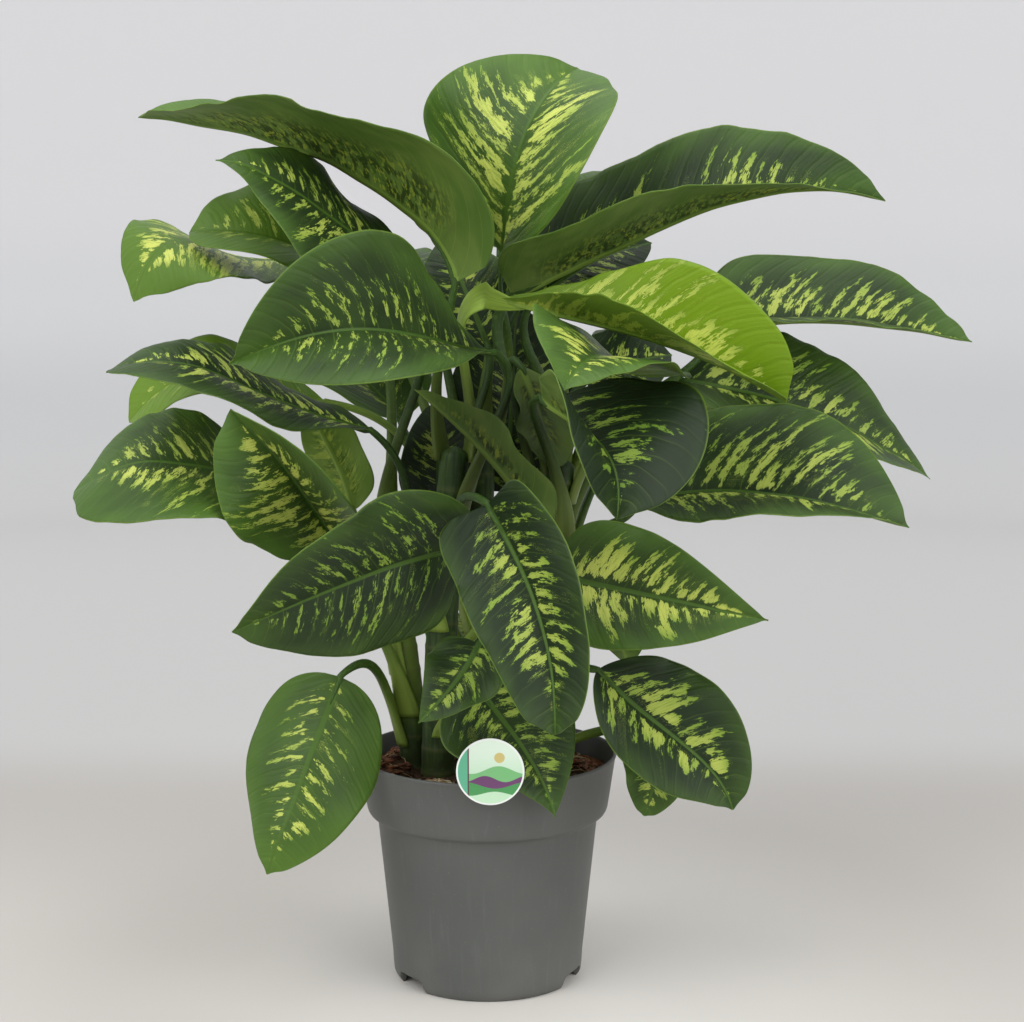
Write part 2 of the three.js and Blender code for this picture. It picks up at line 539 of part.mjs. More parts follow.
function soilSolid() {
  const profile = [
    [0, POT_FLOOR_TOP + GAP],
    [74.6, POT_FLOOR_TOP + GAP],
    [87.1, 133.2],
    [96, 144.2],
    [99, 164],
    [84, SOIL_EDGE],
    [62, SOIL_EDGE],
    [34, SOIL_EDGE],
    [0, SOIL_EDGE],
  ];
  const geometry = turned(profile, POT_SEGMENTS);
  const position = geometry.getAttribute('position');
  for (let i = 0; i < position.count; i += 1) {
    const [x, y, z] = [position.getX(i), position.getY(i), position.getZ(i)];
    if (z > SOIL_EDGE - 0.5) position.setZ(i, soilHeight(x, y));
  }
  let soil = solidFromGeometry(geometry);
  CANES.forEach((cane) => {
    soil = soil.subtract(caneSolid(cane, CANE_BURIED, GAP));
  });
  return soil.subtract(stakeSlot());
}

// The label: a round face in front of the rim, a strip over the rim and a stake in the peat
function boxSolid(low, high) {
  const size = high.map((value, i) => value - low[i]);
  const middle = high.map((value, i) => (value + low[i]) / 2);
  return solidFromGeometry(new THREE.BoxGeometry(...size).translate(...middle));
}

function stakeSlot() {
  const half = TAG_STAKE_WIDTH / 2 + GAP;
  const low = [-half, TAG_STAKE_FRONT - GAP, TAG_STAKE_BOTTOM - GAP];
  const high = [half, TAG_STAKE_FRONT + TAG_THICKNESS + GAP, POT_HEIGHT];
  return boxSolid(low, high);
}

function tagSolid() {
  const face = new THREE.CylinderGeometry(TAG_RADIUS, TAG_RADIUS, TAG_THICKNESS, 32);
  face.translate(TAG_CENTRE[0], TAG_FRONT + TAG_THICKNESS / 2, TAG_CENTRE[1]);
  const half = TAG_STAKE_WIDTH / 2;
  const stripBottom = POT_HEIGHT + GAP;
  const stakeBack = TAG_STAKE_FRONT + TAG_THICKNESS;
  const strip = boxSolid(
    [-half, TAG_FRONT + TAG_THICKNESS / 2, stripBottom],
    [half, stakeBack, stripBottom + TAG_THICKNESS],
  );
  const stake = boxSolid(
    [-half, TAG_STAKE_FRONT, TAG_STAKE_BOTTOM],
    [half, stakeBack, stripBottom + TAG_THICKNESS],
  );
  return solidFromGeometry(face).add(strip).add(stake);
}

const plant = new THREE.Group();
plant.name = 'potted_dieffenbachia';
plant.add(meshFrom('pot', potSolid(), 'pot'));
plant.add(meshFrom('soil', soilSolid(), 'soil'));
plant.add(meshFrom('tag', tagSolid(), 'tag'));
CANES.forEach((cane) => {
  plant.add(meshFrom(cane.name, caneSolid(cane, CANE_BURIED + GAP, 0), 'cane'));
});
LEAVES.forEach((row) => {
  const leaf = { ...PLAIN_LEAF, ...row };
  plant.add(meshFrom(leaf.name, leafSolid(leaf), leaf.young ? 'youngLeaf' : 'leaf'));
});

export default plant;
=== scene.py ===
# Potted dieffenbachia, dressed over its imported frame.
# Lengths in the tables are millimetres, turned to metres by mm, and angles there are degrees.
# Colours in the tables are screen colours, 0 to 255.
import math

import bmesh
import bpy
import mathutils
import numpy as np
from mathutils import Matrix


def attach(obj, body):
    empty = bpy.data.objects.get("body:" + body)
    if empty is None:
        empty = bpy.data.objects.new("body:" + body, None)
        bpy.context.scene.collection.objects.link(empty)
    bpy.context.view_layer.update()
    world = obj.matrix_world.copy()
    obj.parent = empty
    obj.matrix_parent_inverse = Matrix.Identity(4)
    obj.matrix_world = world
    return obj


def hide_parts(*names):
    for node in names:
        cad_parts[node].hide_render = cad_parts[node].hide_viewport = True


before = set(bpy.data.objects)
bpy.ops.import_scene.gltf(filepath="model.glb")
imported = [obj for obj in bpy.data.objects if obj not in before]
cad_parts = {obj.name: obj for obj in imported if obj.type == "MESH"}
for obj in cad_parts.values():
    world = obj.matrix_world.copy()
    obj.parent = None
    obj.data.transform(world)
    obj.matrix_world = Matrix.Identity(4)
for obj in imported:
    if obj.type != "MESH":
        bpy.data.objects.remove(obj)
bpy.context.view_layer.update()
mm = 0.001
print("stage: frame loaded,", len(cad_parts), "nodes")


def linked(name, data):
    # a new object for a mesh, lamp or camera, put in the scene
    item = bpy.data.objects.new(name, data)
    bpy.context.collection.objects.link(item)
    return item


# Camera

viewer = {"place": (20, -1668, 617), "lookDown": 8.0, "pixelsPerUnit": 2100,
          "imageWidth": 1024, "sensor": 36}
camera = linked("camera", bpy.data.cameras.new("camera"))
camera.location = [value * mm for value in viewer["place"]]
camera.rotation_euler = (math.radians(90 - viewer["lookDown"]), 0, 0)
camera.data.sensor_width = viewer["sensor"]
camera.data.lens = viewer["sensor"] * viewer["pixelsPerUnit"] / viewer["imageWidth"]
bpy.context.scene.camera = camera
bpy.context.scene.view_settings.view_transform = "Standard"


# Helpers for arrays and meshes

def unit(vectors):
    # each vector divided by its length
    return vectors / np.maximum(np.linalg.norm(vectors, axis=-1, keepdims=True), 1e-12)


def bell(distance, spread):
    # one at zero distance, falling as exp(-(distance / spread) squared)
    return np.exp(-(distance / spread) ** 2)


def easeBetween(value, low, high):
    # zero below low, one above high, and 3s^2 - 2s^3 of the share s between them
    share = np.clip((value - low) / (high - low), 0, 1)
    return share * share * (3 - 2 * share)


def unevenness(x, y, size, seed):
    # smooth random field: a lattice of random values, size apart, blended with easeBetween
    side, middle = 64, 500.0
    lattice = np.random.default_rng(seed).uniform(-1, 1, (side, side))
    u, v = np.asarray(x) / size + middle, np.asarray(y) / size + middle
    i, j = np.floor(u).astype(int), np.floor(v).astype(int)
    a, b = easeBetween(u - i, 0, 1), easeBetween(v - j, 0, 1)
    corner = lambda right, up: lattice[(i + right) % side, (j + up) % side]
    near = corner(0, 0) * (1 - a) + corner(1, 0) * a
    far = corner(0, 1) * (1 - a) + corner(1, 1) * a
    return near * (1 - b) + far * b


def ringAngles(count):
    # the angles of count equal steps round a circle
    return np.arange(count) * 2 * math.pi / count


def turned(radius, height, angle):
    # a profile turned about Z: radius times the cosine and sine of the angle, and the height
    radius, height = np.asarray(radius)[:, None], np.asarray(height)
    height = height if height.ndim == 2 else height[:, None] + 0 * angle
    return np.stack([radius * np.cos(angle), radius * np.sin(angle), height], axis=-1)


def gridFaces(rows, columns):
    # quads between neighbouring rings of corners, where each ring's last corner joins its first
    i, j = np.meshgrid(np.arange(rows - 1), np.arange(columns), indexing="ij")
    right = (j + 1) % columns
    quads = np.stack([i * columns + j, i * columns + right,
                      (i + 1) * columns + right, (i + 1) * columns + j], axis=-1)
    return quads.reshape(-1, 4)


def closedTube(rings, ends, first=0):
    # rings of corners joined by quads, and a fan to a middle corner at each end; first is the
    # number that the tube's first corner has in its mesh
    rows, sides = rings.shape[:2]
    ring, last, count = np.arange(sides), (rows - 1) * sides, rows * sides
    after = np.roll(ring, -1)
    fans = np.concatenate([np.stack([after, ring, 0 * ring + count], axis=-1),
                           np.stack([ring + last, after + last, 0 * ring + count + 1], axis=-1)])
    points = np.concatenate([rings.reshape(-1, 3), ends])
    return points, first + gridFaces(rows, sides), first + fans


def dress(piece, nodes):
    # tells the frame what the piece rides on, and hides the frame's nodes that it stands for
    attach(piece, "root")
    if nodes:
        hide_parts(*nodes)


def addPiece(name, points, faceGroups, materials, nodes=(), attributes=None, smooth=True):
    # one mesh from points in millimetres and groups of faces, each group with its own material
    mesh = bpy.data.meshes.new(name)
    faces = [face for group in faceGroups for face in group.tolist()]
    mesh.from_pydata((np.asarray(points, dtype=float) * mm).tolist(), [], faces)
    for material in materials:
        mesh.materials.append(material)
    chosen = np.concatenate([np.full(len(group), min(k, len(materials) - 1))
                             for k, group in enumerate(faceGroups)])
    mesh.polygons.foreach_set("material_index", chosen.astype(np.int32))
    mesh.polygons.foreach_set("use_smooth", np.full(len(faces), smooth))
    for key, values in (attributes or {}).items():
        layer = mesh.attributes.new(key, "FLOAT_VECTOR", "POINT")
        layer.data.foreach_set("vector", np.asarray(values, dtype=np.float32).ravel())
    mesh.update()
    piece = linked(name, mesh)
    dress(piece, nodes)
    return piece


def rodSurface(path, radii, sides, towards, groove=0.0):
    # rings round a path, each ring radius (1 - groove * bell) with the groove facing towards
    along = unit(np.gradient(path, axis=0))
    across = unit(towards - (along @ towards)[:, None] * along)
    third = np.cross(along, across)
    angle = ringAngles(sides)
    fromGroove = (angle + math.pi) % (2 * math.pi) - math.pi
    reach = radii[:, None] * (1 - groove * bell(fromGroove, 0.7))
    ring = across[:, None] * np.cos(angle)[:, None] + third[:, None] * np.sin(angle)[:, None]
    return path[:, None] + reach[..., None] * ring


# Helpers for materials. A Field is a value that varies over a surface: sums and products of
# Fields and numbers are made as Math nodes in the tree of the material being made.

making = {}


class Field:
    def __init__(self, socket):
        self.socket = socket

    def __add__(self, other):
        return calc("ADD", self, other)

    def __sub__(self, other):
        return calc("SUBTRACT", self, other)

    def __rsub__(self, other):
        return calc("SUBTRACT", other, self)

    def __mul__(self, other):
        return calc("MULTIPLY", self, other)

    def __truediv__(self, other):
        return calc("DIVIDE", self, other)

    __radd__, __rmul__ = __add__, __mul__


def linear(colour):
    # screen colour to the linear colour that shaders take
    shares = [value / 255 for value in colour]
    return tuple([v / 12.92 if v < 0.04045 else ((v + 0.055) / 1.055) ** 2.4 for v in shares] + [1])


def feed(socket, value):
    # a Field is linked, a tuple is a screen colour, and a number or list is set as it is
    if isinstance(value, Field):
        making["tree"].links.new(value.socket, socket)
    else:
        socket.default_value = linear(value) if isinstance(value, tuple) else value


def addNode(kind, inputs, output=0, **settings):
    # one node with its settings and inputs; the Field of its output comes back
    node = making["tree"].nodes.new("ShaderNode" + kind)
    for key, value in settings.items():
        setattr(node, key, value)
    for key, value in inputs.items():
        feed(node.inputs[key], value)
    return Field(node.outputs[output])


def startMaterial(name):
    making["material"] = bpy.data.materials.new(name)
    making["material"].use_nodes = True
    making["tree"] = making["material"].node_tree


def finishMaterial(inputs):
    # feeds the named inputs of the material's shader
    for key, value in inputs.items():
        feed(making["tree"].nodes["Principled BSDF"].inputs[key], value)
    return making["material"]


def calc(operation, *values):
    # a Math node of one, two or three values
    return addNode("Math", dict(enumerate(values)), operation=operation)


def hypotenuse(x, y):
    # the square root of x squared plus y squared
    return calc("SQRT", x * x + y * y)


def grown(value, least, more):
    # least where value is zero and least plus more where it is one
    return value * more + least


def combine(x, y, z):
    return addNode("CombineXYZ", {0: x, 1: y, 2: z})


def parts(vector):
    node = making["tree"].nodes.new("ShaderNodeSeparateXYZ")
    feed(node.inputs[0], vector)
    return [Field(socket) for socket in node.outputs]


def attributeParts(name):
    # the three numbers of a mesh attribute
    return parts(addNode("Attribute", {}, "Vector", attribute_type="GEOMETRY", attribute_name=name))


def objectPlace():
    return addNode("TexCoord", {}, "Object")


def grain(vector, scale=1.0, detail=2.0, roughness=0.5):
    # noise of about 0 to 1
    return addNode("TexNoise", {"Vector": vector, "Scale": scale, "Detail": detail,
                                "Roughness": roughness})


def ease(value, low, high, bottom=0.0, top=1.0):
    # smooth step of value from bottom at low to top at high
    return addNode("MapRange", {"Value": value, "From Min": low, "From Max": high,
                                "To Min": bottom, "To Max": top},
                   "Result", interpolation_type="SMOOTHSTEP")


def layers(colour, *coats):
    # coats of (share, colour), each blended over what is beneath it
    for share, coat in coats:
        colour = addNode("Mix", {0: share, 6: colour, 7: coat}, 2, data_type="RGBA")
    return colour


def relief(height, distance, strength):
    return addNode("Bump", {"Strength": strength, "Distance": distance, "Height": height})


# Leaf materials

leafPaint = {
    "deepGreen": (31, 46, 24), "freshGreen": (80, 112, 40), "youngGreen": (124, 156, 26),
    "paleGreen": (110, 138, 46), "ribGreen": (74, 104, 36), "ribPale": (126, 152, 64),
    "streakDull": (112, 144, 54), "streakYellow": (174, 190, 76), "streakCream": (204, 212, 104),
    "streakGreen": (112, 144, 42), "underGreen": (106, 129, 60), "underShade": (84, 112, 46),
    "underPale": (132, 150, 66), "underDark": (30, 46, 14), "underBlotch": (150, 164, 58),
    "veinGap": 13.0, "roughness": 0.41,
    "through": [0.5, 1.0, 0.2],  # how far red, green and blue light reach inside
    # the half widths of the midrib above and below at the base, and what they gain to the tip
    "rib": (2.6, -1.9), "underRib": (3.4, -2.6), "veinWander": 14.0,
    # patch sizes along and across the blade, and scales of the skin's fine grain
    "drift": (40.0, 34.0), "underDrift": (30.0, 26.0), "streakGrain": (0.8, 9.0),
    "mottle": (5.0, 9.0), "skin": 900.0, "underSkin": 700.0,
}
# a streak's start and end, as shares of the half blade, and its half width each have a least value
# and what a random draw adds to it at most
streaks = {"lineGap": 11.8, "wander": 16.0, "start": (0.035, 0.12), "end": (0.3, 0.62),
           "halfWidth": (1.6, 4.8), "coarseFray": 18.0, "fineFray": 12.0, "outerLoss": -4.6,
           "loss": -0.5, "innerLoss": -4.0, "endLoss": -5.0, "edge": 0.45,
           # noise sizes across and along the veins, with a detail
           "wanderGrain": (13.0, 17.0, 1.0), "coarseGrain": (2.6, 9.0, 4.0), "fineGrain": (1.0, 3.2, 3.0),
           # how the reach grows from the base and falls towards the tip
           "baseReach": (0.0, 0.2, 0.35, 1.0), "tipReach": (0.66, 0.97, 1.0, 0.1)}
# where the painted shade of the plant's heart falls: its reach from the pot's axis and the heights where it
# rises and fades
heart = {"radius": (0.04, 0.13), "bottom": (0.3, 0.37), "top": (0.46, 0.52)}  # metres


def streakMask(foot, out, side, t, share, seed, density, reach):
    # one ragged line to each gap along the side veins: a random draw for each line sets where it
    # starts, how far it reaches and how wide it is, it narrows as the root of the way left, and
    # noise stretched along the veins frays its edges and breaks its outer end into islands
    shift = calc("MULTIPLY_ADD", side, 31.0, seed * 7.3)

    def stretched(across, along, detail):
        return grain(combine(foot / across, out / along, shift), 1.0, detail, 0.6) - 0.5

    count = (stretched(*streaks["wanderGrain"]) * streaks["wander"] + foot) / streaks["lineGap"]
    cell = calc("FLOOR", count)
    fromLine = calc("ABSOLUTE", count - cell - 0.5) * streaks["lineGap"]
    endDraw, startDraw, widthDraw = parts(addNode(
        "TexWhiteNoise", {"Vector": combine(cell, shift, 0.0)}, "Color", noise_dimensions="2D"))
    along = ease(t, *streaks["baseReach"]) * ease(t, *streaks["tipReach"]) * reach
    end = grown(endDraw, *streaks["end"]) * along
    start = grown(startDraw * startDraw, *streaks["start"])
    way = (share - start) / calc("MAXIMUM", end - start, 0.02)
    left = calc("SQRT", calc("MAXIMUM", 1.0 - way, 0.0))
    half = grown(widthDraw, *streaks["halfWidth"])
    above = half * (ease(way, -0.04, 0.16) * left) * density - fromLine
    above = above + (stretched(*streaks["coarseGrain"]) * streaks["coarseFray"]
                     + stretched(*streaks["fineGrain"]) * streaks["fineFray"])
    above = above + (ease(way, 0.7, 1.4) * streaks["outerLoss"] + streaks["loss"]
                     + ease(way, -0.12, 0.04, streaks["innerLoss"], 0.0))
    above = above + (ease(t, 0.0, 0.05, streaks["endLoss"], 0.0)
                     + ease(t, 0.9, 0.99, 0.0, streaks["endLoss"]))
    return ease(above, 0.0, streaks["edge"]), above, way, widthDraw


def paintedHeartShade(colour, depth):
    # painted shade in the plant's heart, where the crown shades the stems and inner leaves: the colour is
    # darkened by depth near the pot's axis, between the soil and the crown
    x, y, z = parts(objectPlace())
    inside = (ease(hypotenuse(x, y), *heart["radius"], 1.0, 0.0) * ease(z, *heart["bottom"])
              * ease(z, *heart["top"], 1.0, 0.0))
    return layers(colour, (inside * depth, (0, 0, 0)))


def patches(foot, out, seed, sizes):
    # places on the blade counted in patches of those sizes along and across it
    return combine(foot / sizes[0], out / sizes[1], seed)


def leafUpperMaterial():
    # deep green that freshens towards margin and tip, with pale side veins; the streaks in a
    # faint halo, dull to cream, greener outwards and in their grain; then midrib and margin
    startMaterial("leafUpper")
    foot, out, side = attributeParts("veinPlace")
    t, share, _ = attributeParts("bladePlace")
    seed, density, youth = attributeParts("leafTraits")
    fresh, reach, cream = attributeParts("leafTone")
    mask, above, way, pale = streakMask(foot, out, side, t, share, seed, density, reach)
    drift = grain(patches(foot, out, seed, leafPaint["drift"]))
    outer = calc("MAXIMUM", ease(share, 0.5, 1.0, 0.0, 0.34), ease(t, 0.7, 1.0, 0.0, 0.4))
    # fresh lifts the green towards freshGreen; where it is low, on inner and shaded leaves, it is painted
    # shade
    tone = fresh + (outer + ease(drift, 0.3, 0.7, -0.1, 0.12))
    veinFoot = drift * leafPaint["veinWander"] + foot
    vein = calc("PINGPONG", veinFoot / leafPaint["veinGap"], 0.5)
    green = layers(
        leafPaint["deepGreen"],
        (ease(tone, -0.1, 1.1), leafPaint["freshGreen"]),
        (youth * ease(t, 0.1, 0.55, 0.5, 1.0), leafPaint["youngGreen"]),
        (ease(vein, 0.0, 0.06, 0.24, 0.0) * ease(share, 0.05, 0.95, 1.0, 0.25), leafPaint["paleGreen"]),
        (ease(above, -1.6, 0.0) * 0.4, leafPaint["ribGreen"]))
    inner = grain(patches(foot, out, seed, leafPaint["streakGrain"]))
    streak = layers(
        leafPaint["streakDull"],
        (ease(pale * 0.5 + cream, 0.1, 1.5), leafPaint["streakCream"]),
        (ease(way, 0.25, 1.1, 0.0, 0.85), leafPaint["streakGreen"]),
        (ease(inner, 0.5, 0.7, 0.0, 0.6), leafPaint["streakGreen"]),
        (ease(above, 0.0, 1.3, 0.45, 0.0), leafPaint["streakGreen"]))
    rib = ease(out - grown(t, *leafPaint["rib"]), -0.5, 0.5, 0.85, 0.0)
    colour = layers(
        green, (mask, streak),
        (rib, layers(leafPaint["ribGreen"], (youth, leafPaint["youngGreen"]))),
        (ease(share, 0.978, 0.994, 0.0, 0.5), leafPaint["paleGreen"]))
    fine = calc("PINGPONG", veinFoot / (leafPaint["veinGap"] / 3), 0.5)
    pressed = ease(vein, 0.0, 0.28) * ease(share, 0.1, 0.4, 0.4, 1.0) + ease(fine, 0.0, 0.4, 0.0, 0.22)
    pressed = pressed + grain(objectPlace(), leafPaint["skin"], 3.0) * 0.2
    # the base colour is darkened by painted shade in the plant's heart
    return finishMaterial({
        "Base Color": paintedHeartShade(colour, 0.45), "Roughness": drift * 0.12 + leafPaint["roughness"],
        "Normal": relief(pressed, 0.0006, 0.55), "IOR": 1.33, "Specular IOR Level": 0.45,
        "Subsurface Weight": 0.06, "Subsurface Scale": 0.002, "Subsurface Radius": leafPaint["through"],
        "Coat Weight": 0.02, "Coat Roughness": 0.4})


def leafUnderMaterial():
    # dull yellow green with raised pale veins; the inner half, opposite the streaks, is mottled
    # dark green with yellow green blotches that thin out towards the margin, and a young leaf's
    # streaks show through
    startMaterial("leafUnder")
    foot, out, side = attributeParts("veinPlace")
    t, share, _ = attributeParts("bladePlace")
    seed, density, youth = attributeParts("leafTraits")
    _, reach, _ = attributeParts("leafTone")
    drift = grain(patches(foot, out, seed, leafPaint["underDrift"]))
    place = patches(foot, out, seed, leafPaint["mottle"])
    mottle, blotch = grain(place, 1.0, 3.0), grain(place, 1.7, 3.0)
    middle = (ease(drift * 0.5 + share, 0.45, 0.9, 1.0, 0.0) * ease(t, 0.05, 0.2)
              * (ease(t, 0.72, 0.97, 1.0, 0.0) * ease(out, 2.0, 6.0)))
    through = streakMask(foot, out, side, t, share, seed, density, reach)[0]
    vein = calc("PINGPONG", foot / leafPaint["veinGap"], 0.5)
    rib = ease(out - grown(t, *leafPaint["underRib"]), -0.6, 0.4, 0.8, 0.0)
    colour = layers(
        leafPaint["underGreen"],
        (ease(drift, 0.3, 0.7), leafPaint["underShade"]),
        (middle * ease(mottle, 0.42, 0.56, 0.0, 0.8), leafPaint["underDark"]),
        (middle * ease(blotch, 0.54, 0.62, 0.0, 0.8), leafPaint["underBlotch"]),
        (youth * 0.45, leafPaint["youngGreen"]),
        (through * (youth * 0.9), leafPaint["streakYellow"]),
        (ease(vein, 0.0, 0.05, 0.3, 0.0), leafPaint["underPale"]),
        (rib, leafPaint["ribPale"]))
    # the base colour is darkened by painted shade in the plant's heart
    return finishMaterial({
        "Base Color": paintedHeartShade(colour, 0.6), "Roughness": drift * 0.12 + 0.5,
        "Normal": relief(grain(objectPlace(), leafPaint["underSkin"], 3.0), 0.00015, 0.4), "IOR": 1.33,
        "Specular IOR Level": 0.4, "Subsurface Weight": 0.1, "Subsurface Scale": 0.002,
        "Subsurface Radius": leafPaint["through"]})


stalkPaint = {"sheath": (136, 158, 66), "stalk": (50, 78, 22), "mottle": (70, 100, 36),
              "youngStalk": (162, 190, 74)}


def stalkMaterial():
    # pale sheath at the foot turning to green, with fine lengthwise lines and pale mottling
    startMaterial("leafStalk")
    share, angle, length = attributeParts("stalkPlace")
    seed, _, youth = attributeParts("leafTraits")
    lines = grain(combine(angle * 2.4, length * 0.02, seed), 1.0, 3.0)
    spots = grain(combine(angle, length * 0.16, seed), 1.4)
    colour = layers(
        stalkPaint["stalk"],
        (ease(spots, 0.5, 0.72), stalkPaint["mottle"]),
        (youth * 0.8, stalkPaint["youngStalk"]),
        (ease(share, 0.05, 0.6, 0.85, 0.0), stalkPaint["sheath"]),
        (ease(lines, 0.42, 0.7, 0.0, 0.35), stalkPaint["mottle"]))
    # the base colour is darkened by painted shade in the plant's heart
    return finishMaterial({
        "Base Color": paintedHeartShade(colour, 0.62), "Roughness": 0.5, "Specular IOR Level": 0.3,
        "Normal": relief(lines, 0.0004, 0.5), "Subsurface Weight": 0.08,
        "Subsurface Scale": 0.003, "Subsurface Radius": leafPaint["through"]})


leafUpper, leafUnder, leafStalk = leafUpperMaterial(), leafUnderMaterial(), stalkMaterial()
print("stage: leaf materials made")


# Canes: upright stems that lean out with the square of their height above the soil

canes = [
    {"name": "cane_left", "foot": (-60, 8), "lean": (-18, 5), "top": 330, "radius": 12, "pale": 0.8},
    {"name": "cane_front", "foot": (-40, -14), "lean": (15, 5), "top": 430, "radius": 14, "pale": 0},
    {"name": "cane_right", "foot": (48, -2), "lean": (12, 0), "top": 420, "radius": 13, "pale": 0},
    {"name": "cane_back", "foot": (-5, 50), "lean": (0, 12), "top": 430, "radius": 13, "pale": 0},
    {"name": "cane_back_right", "foot": (45, 50), "lean": (10, 10), "top": 425, "radius": 12, "pale": 0},
]
caneShape = {"rows": 150, "sides": 28, "ringGap": 26.0, "ringHeight": 0.4, "bottom": 112.3,
             "leanFrom": 150, "firstRing": 168, "taper": 0.2, "dome": (4, 6), "scarDrift": 5,
             "scarWidth": 1.5, "swellWidth": 2.2, "dipAbove": 5, "dipWidth": 4, "oval": 0.025,
             "lobed": 0.02}


def caneAxis(cane, height):
    # the foot plus the lean times the square of the height's share above the soil
    share = (height - caneShape["leanFrom"]) / (cane["top"] - caneShape["leanFrom"])
    x = cane["foot"][0] + cane["lean"][0] * share ** 2
    y = cane["foot"][1] + cane["lean"][1] * share ** 2
    return np.stack([x, y, height + 0 * x], axis=-1)


# Leaves: the same places and sizes as the solids. Each row gives the name, the cane's number, the
# height on it, the azimuth at which the stalk leaves it, the blade's base and tip, the way that it
# faces and its width, and then what differs from usualLeaf.

